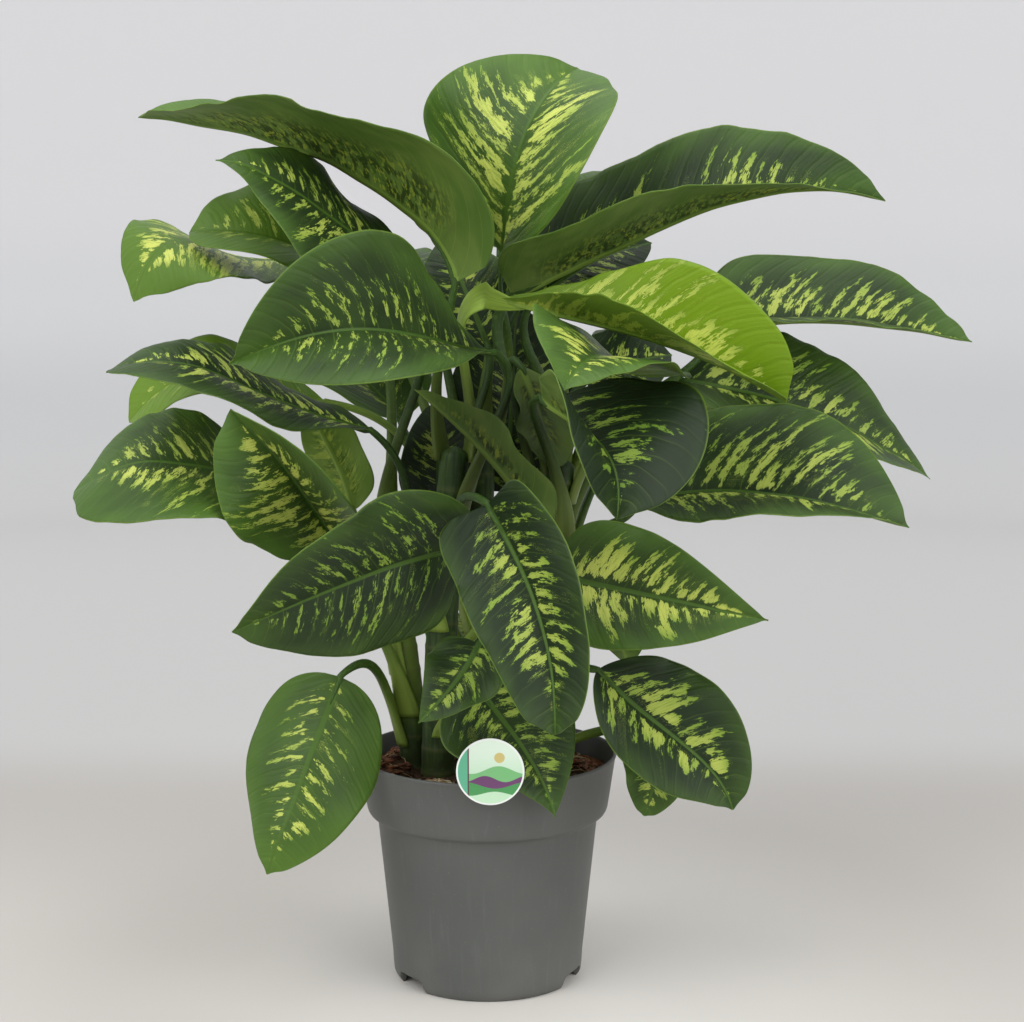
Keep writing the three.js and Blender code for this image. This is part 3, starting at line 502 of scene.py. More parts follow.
leafColumns = ("name", "cane", "node", "side", "base", "tip", "face", "width")
usualLeaf = {
    # arch and sweep are shares of the length, peak is where the arch is highest, fold and curl
    # bend the halves, shape gives the outline's powers at base and tip, and rise, bend and drop
    # carry the stalk
    "arch": 0.1, "sweep": 0, "peak": 0.5, "fold": (25, 25), "curl": 15, "shape": (0.5, 0.8),
    "twist": 0, "rise": 0.45, "bend": 0.35, "drop": 0.6, "young": 0,
    # how wide the streaks are and how far out they reach, how fresh the green is (held low as painted
    # shade on leaves deep in the plant), how young the leaf looks, how creamy its streaks are and how
    # widely its stalk is winged below the blade
    "streaks": 0.75, "reach": 1.1, "fresh": 0.3, "youth": 0, "cream": 0.5, "wing": 0,
}
backLeaf = {"arch": 0.15, "fold": (20, 20)}
# the inner and shaded leaves have a low fresh, which paints the shade deep in the plant
leaves = [
    ("drooping_left", 0, 190, 200, (-113, -73, 263), (-168, -112, 117), (-0.1, -0.93, 0.35), 117,
     dict(arch=0.07, sweep=-0.01, peak=0.64, fold=(-14, -10), curl=30, shape=(0.48, 0.78), twist=24,
          rise=0.5, streaks=0.6, reach=0.8, fresh=0.55, cream=0.75)),
    ("left_mid", 0, 215, 250, (-117, -41, 363), (-189, -112, 475), (-0.31, -0.9, 0.32), 122,
     dict(arch=0.11, sweep=0.07, peak=0.65, fold=(42, 53), curl=11, shape=(0.73, 0.56), twist=-18,
          rise=0.32, bend=0.44, streaks=0.95, reach=1.2, fresh=0.45, cream=0.85)),
    ("far_left", 0, 247, 220, (-110, -16, 385), (-317, -65, 407), (-0.32, -0.41, 0.85), 137,
     dict(arch=0.2, sweep=-0.09, peak=0.66, fold=(-9, 6), curl=0, shape=(0.9, 0.46), twist=-20, bend=0.45,
          drop=0.54, streaks=0.95, reach=1.4, fresh=0.35, cream=0.7)),
    ("left_under", 3, 270, 195, (-133, 50, 466), (-293, 42, 450), (-0.25, -0.45, 0.85), 92,
     dict(arch=0.24, peak=0.6, fold=(15, 15), shape=(0.9, 0.6), twist=-15, rise=0.56, bend=0.39, drop=0.24,
          streaks=0.5, fresh=0.8, youth=0.4)),
    ("left_wide", 0, 268, 178, (-91, -28, 451), (-290, -62, 498), (0, -0.32, 0.95), 111,
     dict(arch=0.13, sweep=-0.07, peak=0.75, fold=(12, 11), curl=19, shape=(0.85, 0.66), twist=-6,
          rise=0.26, bend=0.42, drop=0.53, streaks=0.9, reach=1.15, fresh=0.05, cream=0.6)),
    ("inner_pale", 0, 235, 110, (-112, 62, 374), (-158, 100, 462), (-0.2, 0.7, 0.7), 58,
     dict(fold=(10, 10), fresh=0.6, youth=0.45)),
    ("left_recurved", 3, 330, 205, (-159, 107, 584), (-283, 21, 549), (-0.36, -0.6, 0.71), 142,
     dict(arch=0.28, peak=0.75, fold=(-4, -8), curl=0, shape=(1.17, 0.69), twist=-21, streaks=1.4,
          reach=1.8, fresh=0.8, youth=0.12, cream=1)),
    ("left_behind", 0, 310, 110, (-118, 67, 571), (-238, 28, 604), (-0.1, -0.68, 0.72), 110,
     dict(arch=0.18, sweep=-0.06, peak=0.55, fold=(30, 17), curl=13, shape=(0.72, 0.61), twist=-6,
          drop=0.65, streaks=0.5, fresh=1, youth=0.1, cream=0.4)),
    ("left_upper", 0, 318, 200, (-61, -14, 577), (-201, -81, 658), (-0.21, -0.56, 0.8), 148,
     dict(arch=0.064, peak=0.75, fold=(4, 11), curl=30, shape=(0.77, 1.27), twist=-18, rise=0.42,
          drop=0.69, streaks=0.65, fresh=0.15)),
    ("crown_left", 1, 425, 150, (-24, -28, 566), (-276, 22, 694), (0.2, 0.13, 0.97), 190,
     dict(arch=0.133, sweep=-0.01, peak=0.4, fold=(30, 29), curl=30, shape=(0.35, 0.73), twist=-50,
          streaks=0.7, fresh=0.6)),
    ("young", 1, 423, 20, (-1, -11, 555), (228, -80, 477), (-0.07, -0.53, 0.85), 129,
     dict(arch=0.12, sweep=0.08, peak=0.64, fold=(58, 58), curl=0, shape=(1.57, 0.74), twist=50, young=1,
          streaks=1.35, reach=1.45, youth=0.85, cream=1.1, wing=2.8)),
    ("big_left", 1, 385, 330, (7, -25, 511), (-184, -155, 511), (-0.16, -0.96, 0.25), 143,
     dict(arch=0.17, sweep=0.05, peak=0.63, fold=(50, 21), curl=3, shape=(1.58, 1.06), twist=-40,
          streaks=0.38, reach=1.2, fresh=0.2, cream=0.4)),
    ("front", 1, 330, 285, (2, -124, 405), (51, -205, 250), (-0.35, -0.84, 0.42), 104,
     dict(arch=0.02, sweep=-0.08, peak=0.54, fold=(32, 32), curl=0, shape=(0.2, 0.42), twist=-12,
          streaks=0.85, fresh=-0.1, cream=0.45)),
    ("front_left", 1, 290, 245, (-17, -99, 365), (-182, -181, 320), (-0.11, -0.95, -0.31), 131,
     dict(arch=0.04, sweep=0.065, peak=0.35, fold=(12, 30), curl=30, shape=(0.45, 0.74), twist=-18,
          streaks=0.42, reach=1.2, fresh=0.05, cream=0.1)),
    ("inner_folded", 1, 250, 330, (45, -65, 375), (-55, -60, 485), (0.5, 0.5, 0.7), 60,
     dict(arch=0.05, fold=(40, 40), streaks=0.9, fresh=0.1, cream=0.3)),
    ("low_front", 1, 220, 263, (-5, -91, 293), (-50, -133, 241), (-0.14, -0.89, 0.43), 61,
     dict(sweep=-0.07, peak=0.47, fold=(8, 12), curl=18, shape=(0.44, 1.02), twist=-7, bend=0.41,
          streaks=1, fresh=0.1, cream=0.3)),
    ("over_rim", 1, 204, 300, (-6, -54, 249), (53, -116, 163), (0.06, -0.71, 0.7), 112,
     dict(arch=0.02, sweep=-0.05, peak=0.6, fold=(11, 14), curl=0, shape=(0.43, 1.17), twist=-5, rise=0.47,
          bend=0.24, drop=0.95, streaks=0.9, fresh=0.1, cream=0.3)),
    ("crown_right", 2, 413, 139, (20, 25, 554), (306, -42, 628), (0, -0.4, 0.92), 159,
     dict(arch=0.09, sweep=-0.03, peak=0.64, fold=(42, 42), curl=5, shape=(0.3, 0.74), twist=32, rise=0.29,
          streaks=0.7, reach=0.95, fresh=0.15, wing=1)),
    ("facing", 2, 390, 350, (109, -33, 496), (56, -194, 495), (0.16, -0.34, 0.93), 131,
     dict(arch=0.12, sweep=0.02, peak=0.54, fold=(12, 23), curl=12, shape=(0.56, 0.98), twist=7,
          streaks=0.9, fresh=0.45, cream=0.8)),
    ("shaded", 2, 360, 301, (43, -85, 481), (95, -180, 402), (0.33, -0.79, 0.52), 161,
     dict(arch=0.12, sweep=-0.08, peak=0.63, fold=(27, 53), curl=0, shape=(0.92, 0.65), twist=17,
          rise=0.43, reach=0.9, fresh=-0.3, cream=0.1)),
    ("right_fan", 2, 318, 273, (118, -12, 388), (318, -109, 385), (-0.07, -0.81, 0.58), 160,
     dict(arch=0.02, sweep=-0.08, peak=0.43, fold=(18, 58), curl=26, shape=(0.76, 0.95), twist=-19,
          rise=0.66, bend=0.26, drop=0.55, streaks=0.95, reach=1.2, fresh=0.1)),
    ("front_right", 2, 280, 290, (53, -58, 340), (212, -122, 317), (0.08, -0.94, 0.32), 103,
     dict(arch=0.06, sweep=0.01, peak=0.45, fold=(27, 14), curl=4, shape=(0.53, 1.14), twist=15,
          streaks=1.5, cream=0.85)),
    ("low_right", 2, 215, 310, (86, -80, 270), (189, -109, 167), (0.11, -0.92, 0.37), 103,
     dict(arch=0.02, sweep=-0.06, peak=0.74, fold=(17, 31), curl=10, shape=(0.63, 0.73), twist=21,
          streaks=1.3, reach=1.05, fresh=-0.05)),
    ("low_small", 2, 186, 350, (130, -34, 206), (124, -60, 148), (0.16, -0.94, 0.31), 50,
     dict(arch=0.12, sweep=-0.06, peak=0.52, fold=(11, 12), curl=14, shape=(0.42, 0.61), rise=0.2,
          streaks=0.9)),
    ("inner_right", 2, 375, 180, (28, -8, 498), (46, -28, 425), (-0.55, 0.72, 0.42), 53,
     dict(arch=0.05, sweep=0.11, peak=0.57, fold=(-1, 9), curl=21, shape=(0.53, 0.3), twist=-1, rise=0.44,
          fresh=-0.2)),
    ("crown_top", 3, 424, 0, (12, 26, 587), (73, 58, 735), (0, -0.97, 0.24), 190,
     dict(arch=0.29, sweep=-0.09, peak=0.54, fold=(-18, 58), curl=13, shape=(0.96, 0.99), twist=37,
          rise=0.65, drop=0.8, streaks=1.15, reach=1.4, fresh=0.5, cream=0.75, wing=2)),
    ("under_crown_left", 3, 400, 200, (0, 75, 510), (-38, 105, 598), (-0.2, -0.7, 0.7), 84,
     dict(fold=(10, 10), fresh=0)),
    ("back_top", 3, 415, 90, (10, 100, 590), (10, 310, 640), (0, 0.3, 1), 120, backLeaf),
    ("back_left_top", 3, 370, 140, (-50, 110, 545), (-165, 280, 550), (-0.2, 0.5, 1), 120, backLeaf),
    ("back_middle", 3, 361, 80, (16, 100, 385), (24, 140, 540), (0, -0.9, 0.3), 112,
     dict(arch=0.15, fold=(20, 20), rise=0.7, bend=0.36, fresh=-0.3)),
    ("inner_left", 3, 310, 250, (-40, 30, 370), (-45, 50, 465), (0.2, -0.9, 0.3), 66,
     dict(fold=(15, 15), fresh=-0.2)),
    ("back_left", 3, 290, 150, (-75, 110, 445), (-210, 250, 485), (-0.2, 0, 1), 140, backLeaf),
    ("back_left_low", 3, 235, 170, (-60, 100, 325), (-175, 230, 275), (-0.3, 0.7, 0.7), 110, backLeaf),
    ("back_low", 3, 200, 90, (-10, 110, 270), (-25, 240, 170), (0, 0.8, 0.5), 100, backLeaf),
    ("under_crown_right", 4, 425, 300, (35, 50, 545), (135, 75, 595), (0, -0.7, 0.7), 80,
     dict(fold=(10, 10), fresh=-0.2)),
    ("back_right_top", 4, 410, 48, (60, 100, 580), (190, 260, 640), (0.2, 0.4, 1), 120, backLeaf),
    ("right_high", 4, 385, 20, (189, 78, 521), (395, 47, 515), (0.01, -0.41, 0.91), 142,
     dict(arch=0.02, sweep=-0.1, peak=0.43, fold=(34, 32), curl=12, shape=(0.38, 0.91), twist=5,
          streaks=0.85, reach=1.15, fresh=0.2, cream=0.6)),
    ("inner_dark", 4, 352, 292, (80, 32, 484), (150, 41, 505), (0, -0.7, 0.7), 80,
     dict(fold=(10, 10), drop=0.14, fresh=-0.2)),
    ("back_right", 4, 335, 45, (110, 120, 505), (255, 260, 495), (0.2, 0.6, 0.8), 120, backLeaf),
    ("right_outer", 4, 290, 294, (162, 66, 482), (371, 82, 398), (0.23, -0.62, 0.76), 132,
     dict(arch=0.13, sweep=0.06, fold=(21, 25), curl=6, shape=(0.5, 1.06), twist=-6, rise=0.48, bend=0.37,
          drop=0.73, streaks=1, fresh=0.2)),
    ("back_right_low", 4, 285, 30, (105, 110, 420), (265, 240, 395), (0.3, 0.6, 0.8), 120, backLeaf),
    ("back_low_right", 4, 240, 45, (60, 110, 305), (125, 190, 214), (0.3, 0.7, 0.7), 105, backLeaf),
]
# crease is the groove over the midrib, quilt the swelling between side veins, and ruffle and
# wave move the margin; the stalk's tail runs on under the midrib at places along the blade, with
# a depth and a share of the radius at each
blade = {"rows": 84, "columns": 38, "thickness": 0.32, "ribDepth": 2.1, "ribWidth": 2.4,
         "crease": 0.9, "creaseWidth": 1.5, "quilt": 0.75, "ruffle": 1.6, "ruffleSize": 13,
         "unevenness": 1.5, "unevenSize": 34, "wave": 4, "waveLead": 1.3, "leastHalf": 0.6,
         "tipDraw": 0.4, "veinSlant": 0.36, "veinBend": 0.3, "rowsAtEnds": 0.35, "columnPower": 1.15}
stalk = {"radius": 5.4, "rows": 40, "sides": 16, "groove": 0.3, "flare": 0.12, "clasp": 0.95,
         "taper": 0.45, "start": 0.75, "lean": 0.25, "clasped": 0.4, "claspThin": 0.3,
         "winged": (0.45, 0.95), "wingThin": 0.25,
         "tailPlaces": (0.02, 0.05, 0.09, 0.14), "tailDepths": (1.6, 1.5, 1.2, 0.8),
         "tailShares": (0.473, 0.396, 0.275, 0.11)}


def midrib(leaf, t):
    # base plus the chord times t, bowed along the upward and sideways directions by 4s(1 - s)
    base, tip = np.array(leaf["base"], float), np.array(leaf["tip"], float)
    chord = tip - base
    length = np.linalg.norm(chord)
    along = chord / length
    up = np.array(leaf["face"], float)
    up = unit(up - (up @ along) * along)
    side = np.cross(along, up)
    s = t ** (math.log(0.5) / math.log(leaf["peak"]))
    bow = (length * 4 * s * (1 - s))[:, None]
    return base + t[:, None] * chord + bow * (leaf["arch"] * up + leaf["sweep"] * side), up, length


def bladeSurface(leaf, t, q, number):
    # across the midrib each half follows a circle arc that starts at the fold angle and bends
    # down by curl; its margin waves with sin(4 pi t) and ripples with q to the fourth
    step = 1e-4
    middle, up, length = midrib(leaf, t)
    along = unit(midrib(leaf, np.minimum(t + step, 1))[0] - midrib(leaf, np.maximum(t - step, 1e-9))[0])
    flatUp = unit(up - (along @ up)[:, None] * along)
    turn = (np.radians(leaf["twist"]) * (t - 0.5))[:, None]
    normal = flatUp * np.cos(turn) + np.cross(along, flatUp) * np.sin(turn)
    side = np.cross(along, normal)
    # the outline is t^a (1 - t)^b, divided by its largest value, and draws in near the tip
    a, b = leaf["shape"]
    widest = a / (a + b)
    outline = t ** a * (1 - t) ** b / (widest ** a * (1 - widest) ** b)
    outline = outline * (1 - blade["tipDraw"] * easeBetween(t, 0.95, 0.99))
    halfWidth = leaf["width"] / 2
    half = np.maximum(halfWidth * outline, blade["leastHalf"])[:, None]
    t, hand, reach = t[:, None], np.where(q >= 0, 1.0, -1.0)[None], np.abs(q)[None]
    fold = np.radians(np.where(q >= 0, leaf["fold"][1], leaf["fold"][0]))[None]
    curl = np.radians(max(leaf["curl"], 0.1))
    slope = fold - curl * (reach * half / halfWidth)
    away = halfWidth / curl * (np.sin(fold) - np.sin(slope))
    lift = halfWidth / curl * (np.cos(slope) - np.cos(fold))
    lead = np.where(q >= 0, blade["waveLead"], 0.0)[None]  # one margin waves ahead of the other
    lift = lift + blade["wave"] * reach ** 2 * np.sin(4 * math.pi * t + lead) * half / halfWidth
    fine = unevenness(t * length + 0 * reach, hand * 40 + 0 * t, blade["ruffleSize"], number + 7)
    lift = lift + blade["ruffle"] * reach ** 4 * fine * np.minimum(half / 20, 1)
    uneven = unevenness(t * length, hand * reach * half + 200, blade["unevenSize"], number + 3)
    lift = lift + blade["unevenness"] * uneven * np.minimum(half / 30, 1) * easeBetween(t, 0, 0.15)
    # the side veins leave the midrib at foot; between them the blade swells a little
    foot = t * length - blade["veinSlant"] * reach * half - blade["veinBend"] * reach ** 2 * half
    vein = np.abs((foot / leafPaint["veinGap"] + 0.5) % 1 - 0.5) * 2
    quilt = blade["quilt"] * (1 - (1 - np.clip(vein, 0, 1)) ** 2.2)
    quiltShare = easeBetween(reach, 0.04, 0.3) * (1 - 0.7 * easeBetween(reach, 0.6, 1.0))
    lift = lift + quilt * (quiltShare * np.minimum(half / 32, 1))
    points = middle[:, None] + side[:, None] * (hand * away)[..., None] + normal[:, None] * lift[..., None]
    facing = normal[:, None] * np.cos(slope)[..., None] - side[:, None] * (hand * np.sin(slope))[..., None]
    return {"points": points, "facing": facing, "foot": foot, "out": reach * half,
            "share": reach + 0 * t, "t": t + 0 * reach, "hand": hand + 0 * t,
            "half": half, "along": along}


def stalkPath(leaf, number):
    # a cubic curve from the cane to the blade's base, run on for a little under the midrib
    cane = canes[leaf["cane"]]
    turn = math.radians(leaf["side"])
    away = np.array([math.cos(turn), math.sin(turn), 0.0])
    start = caneAxis(cane, np.array(float(leaf["node"]))) + stalk["start"] * cane["radius"] * away
    end = np.array(leaf["base"], float)
    reach = np.linalg.norm(end - start - 0.15 * cane["radius"] * away)
    leaving = unit(stalk["lean"] * away + np.array([0, 0, 1.0]))
    lead = bladeSurface(leaf, np.array([0.0]), np.array([0.0]), number)["along"][0]
    arriving = unit(lead + np.array([0, 0, leaf["drop"]]))
    first, second = start + leaving * reach * leaf["rise"], end - arriving * reach * leaf["bend"]
    s = np.linspace(0, 1, stalk["rows"])[:, None]
    curve = ((1 - s) ** 3 * start + 3 * (1 - s) ** 2 * s * first
             + 3 * (1 - s) * s ** 2 * second + s ** 3 * end)
    shares = (1 - stalk["taper"] * s[:, 0]) * (1 + stalk["flare"] * bell(s[:, 0], 0.16))
    run = bladeSurface(leaf, np.array(stalk["tailPlaces"]), np.array([0.0]), number)
    tail = run["points"][:, 0] - run["facing"][:, 0] * np.array(stalk["tailDepths"])[:, None]
    radii = stalk["radius"] * np.concatenate([shares, stalk["tailShares"]])
    return np.vstack([curve, tail]), radii, away


def widened(path, rings, broad, flat, away):
    # each ring scaled by broad along the direction square to the path and away, by flat across it
    along = unit(np.gradient(path, axis=0))
    sideways = unit(np.cross(along, away + np.array([0, 0, 0.001])))
    other = np.cross(sideways, along)
    spread = rings - path[:, None]
    first = (spread * sideways[:, None]).sum(axis=2) * broad[:, None]
    second = (spread * other[:, None]).sum(axis=2) * flat[:, None]
    return path[:, None] + first[..., None] * sideways[:, None] + second[..., None] * other[:, None]


def makeLeaf(row, number):
    # an upper and a lower skin set off from the blade's middle surface, grooved above and ribbed
    # below along the midrib, and the stalk as a closed tube of its own
    leaf = {**usualLeaf, **dict(zip(leafColumns, row)), **row[-1]}
    name = "leaf_" + leaf["name"]
    even, ends = np.linspace(0, 1, blade["rows"]), blade["rowsAtEnds"]
    t = (1 - ends) * even + ends * (1 - np.cos(math.pi * even)) / 2
    q = np.linspace(-1, 1, blade["columns"] + 1)
    sheet = bladeSurface(leaf, t, np.sign(q) * np.abs(q) ** blade["columnPower"], number)
    t, out, half = sheet["t"], sheet["out"], sheet["half"]
    thin = blade["thickness"] * np.minimum(1, 0.35 + half / 12)
    crease = blade["crease"] * bell(out, blade["creaseWidth"]) * np.minimum(1, half / 14) * (1 - 0.7 * t)
    ribTaper = (1 - 0.85 * t) * np.minimum(1, half / 10)
    rib = blade["ribDepth"] * ribTaper * bell(out, blade["ribWidth"] * (1 - 0.5 * t))
    upper = sheet["points"] + sheet["facing"] * (thin - crease)[..., None]
    lower = sheet["points"] - sheet["facing"] * (thin + rib + 0.9 * crease)[..., None]
    rows, columns = upper.shape[:2]
    around = np.concatenate([upper, lower[:, ::-1]], axis=1)
    ringCount = 2 * columns
    quads = gridFaces(rows, ringCount).reshape(rows - 1, ringCount, 4)
    upperFaces = quads[:, :columns - 1].reshape(-1, 4)
    lowerFaces = quads[:, columns - 1:].reshape(-1, 4)
    j = np.arange(columns - 1)
    cap = np.stack([j, ringCount - 1 - j, ringCount - 2 - j, j + 1], axis=-1)
    lowerFaces = np.concatenate([lowerFaces, cap[:, ::-1], (rows - 1) * ringCount + cap])

    path, radii, away = stalkPath(leaf, number)
    s = np.minimum(np.arange(len(path)) / (stalk["rows"] - 1), 1)
    rings = rodSurface(path, radii, stalk["sides"], np.array([0, 0, 0.05]) - away, stalk["groove"])
    clasped = 1 - easeBetween(s, 0, stalk["clasped"])
    winged = leaf["wing"] * easeBetween(s, *stalk["winged"])
    rings = widened(path, rings, 1 + stalk["clasp"] * clasped + winged,
                    1 - stalk["claspThin"] * clasped - stalk["wingThin"] * winged, away)
    bladeCount = rows * ringCount
    tube, stalkFaces, stalkEnds = closedTube(rings, path[[0, -1]], bladeCount)
    total = bladeCount + len(tube)

    veinPlace, bladePlace, stalkPlace = np.zeros((3, total, 3))
    mirror = lambda key: np.concatenate([sheet[key], sheet[key][:, ::-1]], axis=1).ravel()
    veinPlace[:bladeCount] = np.stack([mirror("foot"), mirror("out"), mirror("hand")], axis=-1)
    bladePlace[:bladeCount] = np.stack([mirror("t"), mirror("share"), mirror("hand")], axis=-1)
    travelled = np.concatenate([[0], np.cumsum(np.linalg.norm(np.diff(path, axis=0), axis=1))])
    angle = np.abs((ringAngles(stalk["sides"]) + math.pi) % (2 * math.pi) - math.pi)
    onStalk = np.broadcast_arrays((travelled / travelled[-1])[:, None], angle, travelled[:, None])
    stalkPlace[bladeCount:-2] = np.stack(onStalk, axis=-1).reshape(-1, 3)
    stalkPlace[-2:] = [[0, 0, 0], [1, 0, travelled[-1]]]
    traits = np.tile([number * 1.7 + 3.1, leaf["streaks"], leaf["youth"]], (total, 1))
    tone = np.tile([leaf["fresh"], leaf["reach"], leaf["cream"]], (total, 1))
    addPiece(name + "_dressed", np.concatenate([around.reshape(-1, 3), tube]),
             [upperFaces, lowerFaces, stalkFaces, stalkEnds],
             [leafUpper, leafUnder, leafStalk, leafStalk],
             [name],
             {"veinPlace": veinPlace, "bladePlace": bladePlace, "stalkPlace": stalkPlace,
              "leafTraits": traits, "leafTone": tone})


for number, row in enumerate(leaves):
    makeLeaf(row, number)
print("stage: leaves made,", len(leaves))


# Cane skin: green with ring scars, dull near the soil and on one cane paler further up

def caneMaterial():
    startMaterial("caneSkin")
    height, angle, ring = attributeParts("canePlace")
    pale, _, _ = attributeParts("caneTone")
    lines = grain(combine(angle * 3.0, height * 0.03, 1.0), 1.0, 3.0)
    spots = grain(objectPlace(), 110.0, 3.0)
    colour = layers(
        (34, 52, 20),
        (ease(lines, 0.35, 0.7), (58, 82, 32)),
        (ease(spots, 0.6, 0.78, 0.0, 0.35), (112, 134, 62)),
        (pale * ease(height, 195.0, 235.0), (116, 140, 58)),
        (ease(height, 165.0, 215.0, 0.4, 0.0), (60, 62, 34)),
        (ring * 0.3, (104, 104, 60)))
    return finishMaterial({
        "Base Color": colour, "Roughness": 0.52, "Specular IOR Level": 0.3,
        "Normal": relief(lines, 0.0005, 0.5), "Subsurface Weight": 0.06, "Subsurface Scale": 0.003})


def makeCane(cane, number, material):
    # radius times (1 - taper share), swollen by a bell at each ring scar, dipped above it, and
    # closed in a dome
    low, below, above = caneShape["bottom"], caneShape["dome"][0], caneShape["dome"][1]
    draw = np.random.default_rng(50 + number)
    even = np.linspace(0, 1, caneShape["rows"])
    height = low + (cane["top"] + above - low) * even
    scars = np.arange(caneShape["firstRing"], cane["top"] - 6, caneShape["ringGap"])
    drift = caneShape["scarDrift"]
    fromScar = height[:, None] - (scars + draw.uniform(-drift, drift, len(scars)))[None]
    ringShare = bell(fromScar, caneShape["scarWidth"]).sum(axis=1)
    dip = 0.5 * bell(fromScar - caneShape["dipAbove"], caneShape["dipWidth"])
    swell = caneShape["ringHeight"] * (bell(fromScar, caneShape["swellWidth"]) - dip).sum(axis=1)
    dome = easeBetween(height, cane["top"] - below, cane["top"] + above)
    radii = cane["radius"] * (1 - caneShape["taper"] * even) + swell
    radii = radii * np.sqrt(np.clip(1 - dome ** 2, 0.0004, 1))
    path = caneAxis(cane, height)
    rings = rodSurface(path, radii, caneShape["sides"], np.array([1.0, 0, 0]))
    angle = ringAngles(caneShape["sides"])
    bulge = (1 + caneShape["oval"] * np.cos(2 * angle + number)[None]
             + caneShape["lobed"] * np.cos(3 * angle + height[:, None] / 40))
    rings = path[:, None] + (rings - path[:, None]) * bulge[..., None]
    points, faces, fans = closedTube(rings, path[[0, -1]])
    place = np.broadcast_arrays(height[:, None], np.abs(angle - math.pi), ringShare[:, None])
    ends = [[height[0], 0, 0], [height[-1], 0, 0]]
    place = np.concatenate([np.stack(place, axis=-1).reshape(-1, 3), ends])
    addPiece(cane["name"] + "_dressed", points, [faces, fans], [material], [cane["name"]],
             {"canePlace": place, "caneTone": np.tile([cane["pale"], 0, 0], (len(place), 1))})


caneSkin = caneMaterial()
for number, cane in enumerate(canes):
    makeCane(cane, number, caneSkin)
print("stage: canes made,", len(canes))


# Pot: a thin turned moulding with a deep collar, arched notches in its skirt and drain holes

pot = {
    "segments": 288, "notchAzimuths": (96, 216, 336), "notchWidth": 34, "notchHeight": 10.5,
    "footRadius": 74, "drainRadius": 4.5, "drainCircle": 50, "drainHoles": 6, "drainMiddle": 13,
    "drainDepth": 20, "inside": 14.5,
    "profile": [
        (0.01, 0), (17, 0), (17.8, 0.4), (18, 1.2), (18, 11.6), (18.6, 12), (45, 12), (70.5, 12),
        (71.3, 11.6), (71.5, 10.8), (71.5, 5), (71.5, 0.8), (71.9, 0.15), (72.5, 0), (73.3, 0),
        (73.9, 0.2), (74.6, 0.9), (76.2, 3.2), (77, 5), (77.35, 9), (77.6, 12), (78, 20), (83.1, 70),
        (89.1, 128), (89.5, 131.6), (89.9, 133.6), (90.8, 135), (92.6, 135.9), (94.8, 136.7),
        (96.4, 137.9), (97.4, 139.6), (98.2, 142), (99.6, 151), (101.8, 166), (104.1, 181.6),
        (104.5, 182.7), (104.9, 183.3), (105, 184), (104.9, 184.9), (104.4, 185.5), (103.7, 185.6),
        (103, 185.5), (102.5, 185), (102.2, 183.5), (99.4, 164), (96.6, 145), (95.6, 142.2),
        (93.8, 139.6), (90.6, 137), (88.4, 135), (87.4, 132), (81, 70.5), (75.6, 20), (75.1, 16),
        (74.4, 14.8), (73, 14.5), (40, 14.5), (0.01, 14.5)]}


def potMaterial():
    # moulded grey plastic: faint cloudiness, fine vertical drag lines, dust that thickens low down
    startMaterial("potPlastic")
    place = objectPlace()
    x, y, z = parts(place)
    cloud, speck = grain(place, 14.0, 3.0), grain(place, 520.0)
    drag = grain(combine(x * 260.0, y * 260.0, z * 9.0), 1.0, 3.0)
    colour = layers(
        (79, 81, 79),
        (cloud, (91, 93, 90)),
        (ease(z, 0.0, 0.06, 0.14, 0.02) * ease(cloud, 0.35, 0.7), (150, 144, 134)),
        (ease(speck, 0.68, 0.78, 0.0, 0.25), (140, 138, 130)),
        (ease(drag, 0.55, 0.8, 0.0, 0.12), (130, 132, 130)))
    return finishMaterial({
        "Base Color": colour, "Roughness": cloud * 0.16 + 0.4, "Specular IOR Level": 0.45,
        "Normal": relief(grain(place, 1400.0), 0.00008, 0.5)})


def makePot():
    # the profile turned about Z; in the skirt each point is raised to the notch's arch, which is
    # its height times the square root of 1 - (distance from its middle / half width)^8
    azimuth = np.linspace(0, 360, pot["segments"], endpoint=False)
    halfAngle = math.degrees(pot["notchWidth"] / 2 / pot["footRadius"])
    edges = halfAngle * np.outer((-1, 1), (1.004, 1, 0.985, 0.95)).ravel()
    notches = np.array(pot["notchAzimuths"])[:, None]
    azimuth = np.unique(np.concatenate([azimuth, (notches + edges).ravel() % 360]))
    across = np.abs((azimuth - notches + 180) % 360 - 180).min(axis=0) / halfAngle
    arch = pot["notchHeight"] * np.clip(1 - across ** 8, 0, 1) ** 0.5
    radius, height = np.array(pot["profile"], float).T[:, :, None]
    inSkirt = (radius > 60) & (height < pot["notchHeight"])
    level = np.where(inSkirt, np.maximum(height, arch), height + 0 * arch)
    rings = turned(radius[:, 0], level, np.radians(azimuth))
    points, faces, fans = closedTube(rings, [[0, 0, 0], [0, 0, pot["inside"]]])
    piece = addPiece("pot_dressed", points, [faces, fans], [potMaterial()], ["pot"])
    cutter = bpy.data.meshes.new("drainCutter")
    work = bmesh.new()
    for angle in ringAngles(pot["drainHoles"]) + math.pi / pot["drainHoles"]:
        radius = pot["drainRadius"] * mm
        made = bmesh.ops.create_cone(work, cap_ends=True, segments=32, radius1=radius, radius2=radius,
                                     depth=pot["drainDepth"] * mm)
        away = pot["drainCircle"] * mm
        shift = (away * math.cos(angle), away * math.sin(angle), pot["drainMiddle"] * mm)
        bmesh.ops.translate(work, verts=made["verts"], vec=shift)
    work.to_mesh(cutter)
    work.free()
    tool = linked("drainCutter", cutter)
    cut = piece.modifiers.new("drainHoles", "BOOLEAN")
    cut.operation, cut.solver, cut.object = "DIFFERENCE", "EXACT", tool
    graph = bpy.context.evaluated_depsgraph_get()
    finished = bpy.data.meshes.new_from_object(piece.evaluated_get(graph))
    piece.modifiers.clear()
    piece.data = finished
    bpy.data.objects.remove(tool)


makePot()
print("stage: pot made")


# Peat, with crumbs, bark, pale grains and root fibres on it

